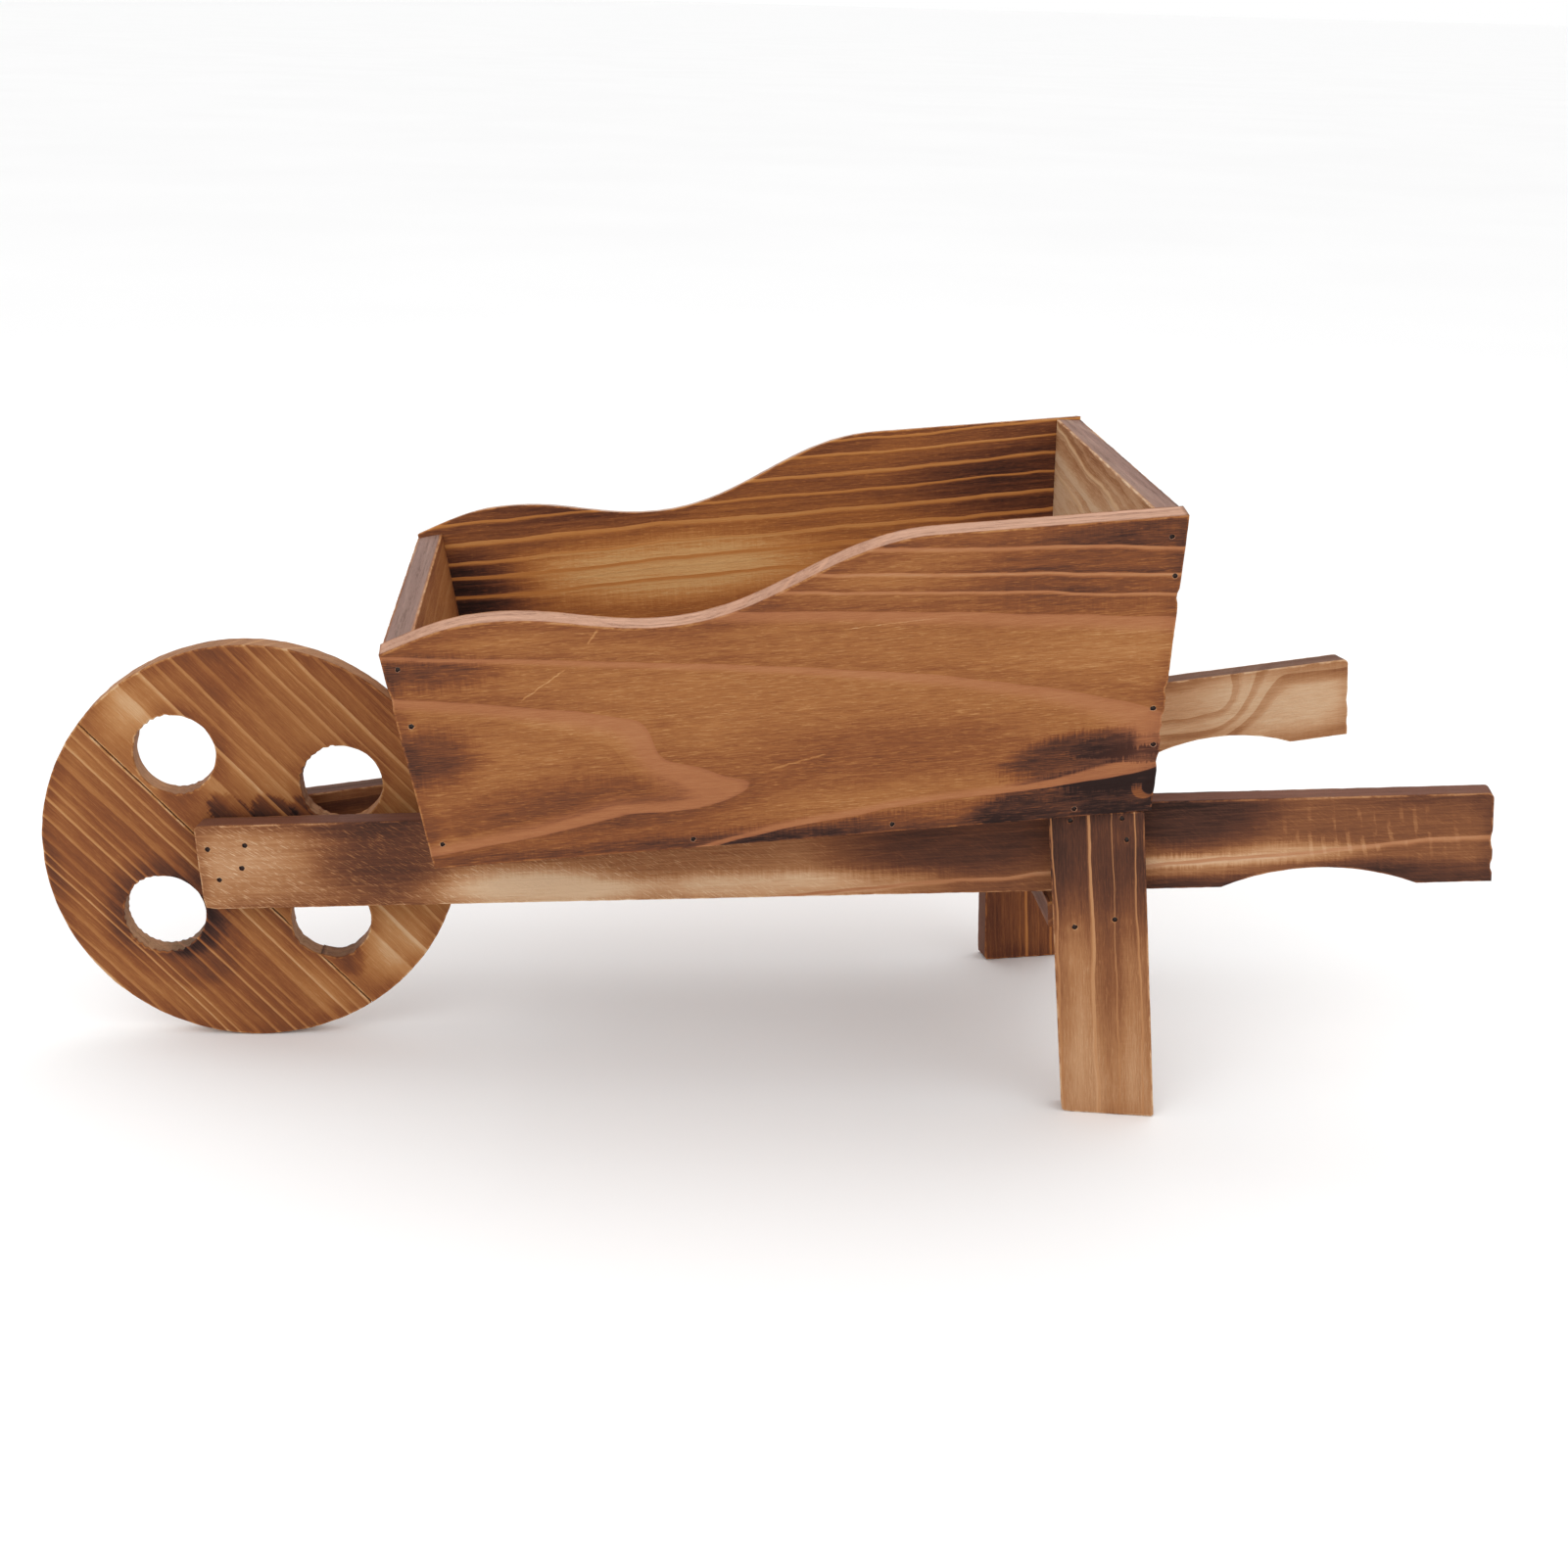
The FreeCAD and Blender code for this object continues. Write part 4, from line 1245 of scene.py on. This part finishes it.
def wheel_main_look():
    """Rings wide by the glue line and close at the upper right, with painted shade in a dark band just above
    the rails' top edge.
    """
    marks = [(-76, 4, 24, 12, -0.16), (74, 12, 24, 16, -0.2), (40, 2, 30, 14, 0.12), (10, 72, 70, 12, 0.08),
             (-64, 42, 16, 18, 0.1), (-20, 30, 30, 16, -0.04)]
    # the first three are painted shade: a dark band just above the rails' top edge
    scorches = [(-14, 3, 17, 10, 0.34), (-1, 16, 17, 11, 0.34), (10, 28, 17, 11, 0.3),
                (60, -8, 18, 12, 0.16), (-16, -10, 34, 22, 0.13)]
    return wheel_look("fir_wheel_main", 11, burn=0.44, pith=(-6.0, 0.0), depth=44.0, ring=5.4,
                      late=0.3, shade=0.16, marks=marks, scorches=scorches)


def wheel_edge_look():
    marks = [(-30, -34, 46, 18, 0.08), (45, -56, 46, 26, 0.08), (76, -22, 30, 16, -0.14),
             (-50, -60, 40, 20, 0.06)]
    return wheel_look("fir_wheel_edge", 12, burn=0.49, pith=(15.0, 0.0), depth=40.0, ring=4.4, line=0.16,
                      late=0.34, shade=0.14, halo=0.14, marks=marks,
                      scorches=[(4, -44, 24, 24, 0.16), (2, -50, 44, 36, 0.13)])


def build_boards():
    build_side(LEFT, fir_material(left_side_look()))
    build_side(RIGHT, fir_material(right_side_look()))
    build_rail(LEFT, fir_material(left_rail_look()))
    build_rail(RIGHT, fir_material(right_rail_look()))
    build_front(fir_material(front_look()))
    build_rear(fir_material(rear_look()))
    build_floor(fir_material(floor_look()))
    build_brace(fir_material(brace_look()))
    build_leg(LEFT, LEFT_LEG_LEAN, fir_material(left_leg_look()))
    build_leg(RIGHT, RIGHT_LEG_LEAN, fir_material(right_leg_look()))
    build_wheel(fir_material(wheel_main_look()), fir_material(wheel_edge_look()))


def dress_cad_nodes():
    """Materials for the CAD nodes that stay."""
    steel, dowel = steel_material(), dowel_material()
    for name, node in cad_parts.items():
        if name.endswith("_brads") or name == "axle_dowel":
            for slot in node.material_slots:
                slot.material = dowel if name == "axle_dowel" else steel


# ---- floor, light and camera ----
STAGE_RADIUS = 500.0  # metres
CAMERA_PLACE = (-0.0624, -0.9911, 0.4397)  # metres
CAMERA_PAN = -4.669  # degrees, a little to the right
CAMERA_TILT = 18.08  # degrees below level
CAMERA_ROLL = 1.57
LENS = 54.95  # millimetres
SENSOR = 36.0


def floor_material():
    nodes = Nodes("pale_floor")
    place = nodes.add("ShaderNodeTexCoord").outputs["Object"]
    tone = nodes.noise(place, (0.6, 0.6, 0.6), 2, 2.0)
    nodes.put(nodes.shader.inputs["Base Color"], nodes.ramp(tone, [(0.3, 0.96), (0.7, 0.98)]))
    nodes.put(nodes.shader.inputs["Roughness"], nodes.range(tone, 0.3, 0.7, 0.85, 0.9, False))
    nodes.shader.inputs["Specular IOR Level"].default_value = 0.1
    return nodes.material


def build_stage():
    """A pale floor out to the horizon."""
    mesh = bpy.data.meshes.new("stage_floor")
    work = bmesh.new()
    bmesh.ops.create_circle(work, cap_ends=True, segments=64, radius=STAGE_RADIUS)
    work.to_mesh(mesh)
    work.free()
    mesh.materials.append(floor_material())
    floor = bpy.data.objects.new("stage_floor", mesh)
    bpy.context.scene.collection.objects.link(floor)


def soft_light(name, place, target, size, power):
    lamp = bpy.data.lights.new(name, "AREA")
    lamp.shape = "RECTANGLE"
    lamp.size, lamp.size_y = size
    lamp.energy = power
    light = bpy.data.objects.new(name, lamp)
    light.location = place
    aim = Vector(target) - Vector(place)
    light.rotation_euler = aim.to_track_quat("-Z", "Y").to_euler()
    bpy.context.scene.collection.objects.link(light)


def build_lights():
    soft_light("key_light", (-0.9, -1.7, 1.5), (0, 0, 0.1), (1.4, 1.2), 9)
    soft_light("fill_light", (1.3, -1.5, 0.9), (0, 0, 0.1), (1.2, 1.2), 3)
    soft_light("top_light", (0.1, 0.4, 1.9), (0, 0, 0.1), (1.6, 1.2), 5)
    world = bpy.data.worlds.new("soft_room")
    world.use_nodes = True
    background = world.node_tree.nodes["Background"]
    background.inputs["Color"].default_value = (1, 1, 1, 1)
    background.inputs["Strength"].default_value = 1.0
    bpy.context.scene.world = world


def build_camera():
    lens = bpy.data.cameras.new("camera")
    lens.lens = LENS
    lens.sensor_width = SENSOR
    camera = bpy.data.objects.new("camera", lens)
    pan = Matrix.Rotation(math.radians(CAMERA_PAN), 4, "Z")
    tilt = Matrix.Rotation(math.radians(90 - CAMERA_TILT), 4, "X")
    roll = Matrix.Rotation(math.radians(CAMERA_ROLL), 4, "Z")
    camera.matrix_world = Matrix.Translation(CAMERA_PLACE) @ pan @ tilt @ roll
    bpy.context.scene.collection.objects.link(camera)
    bpy.context.scene.camera = camera


build_camera()
build_boards()
dress_cad_nodes()
build_stage()
build_lights()
bpy.context.scene.view_settings.view_transform = "Standard"
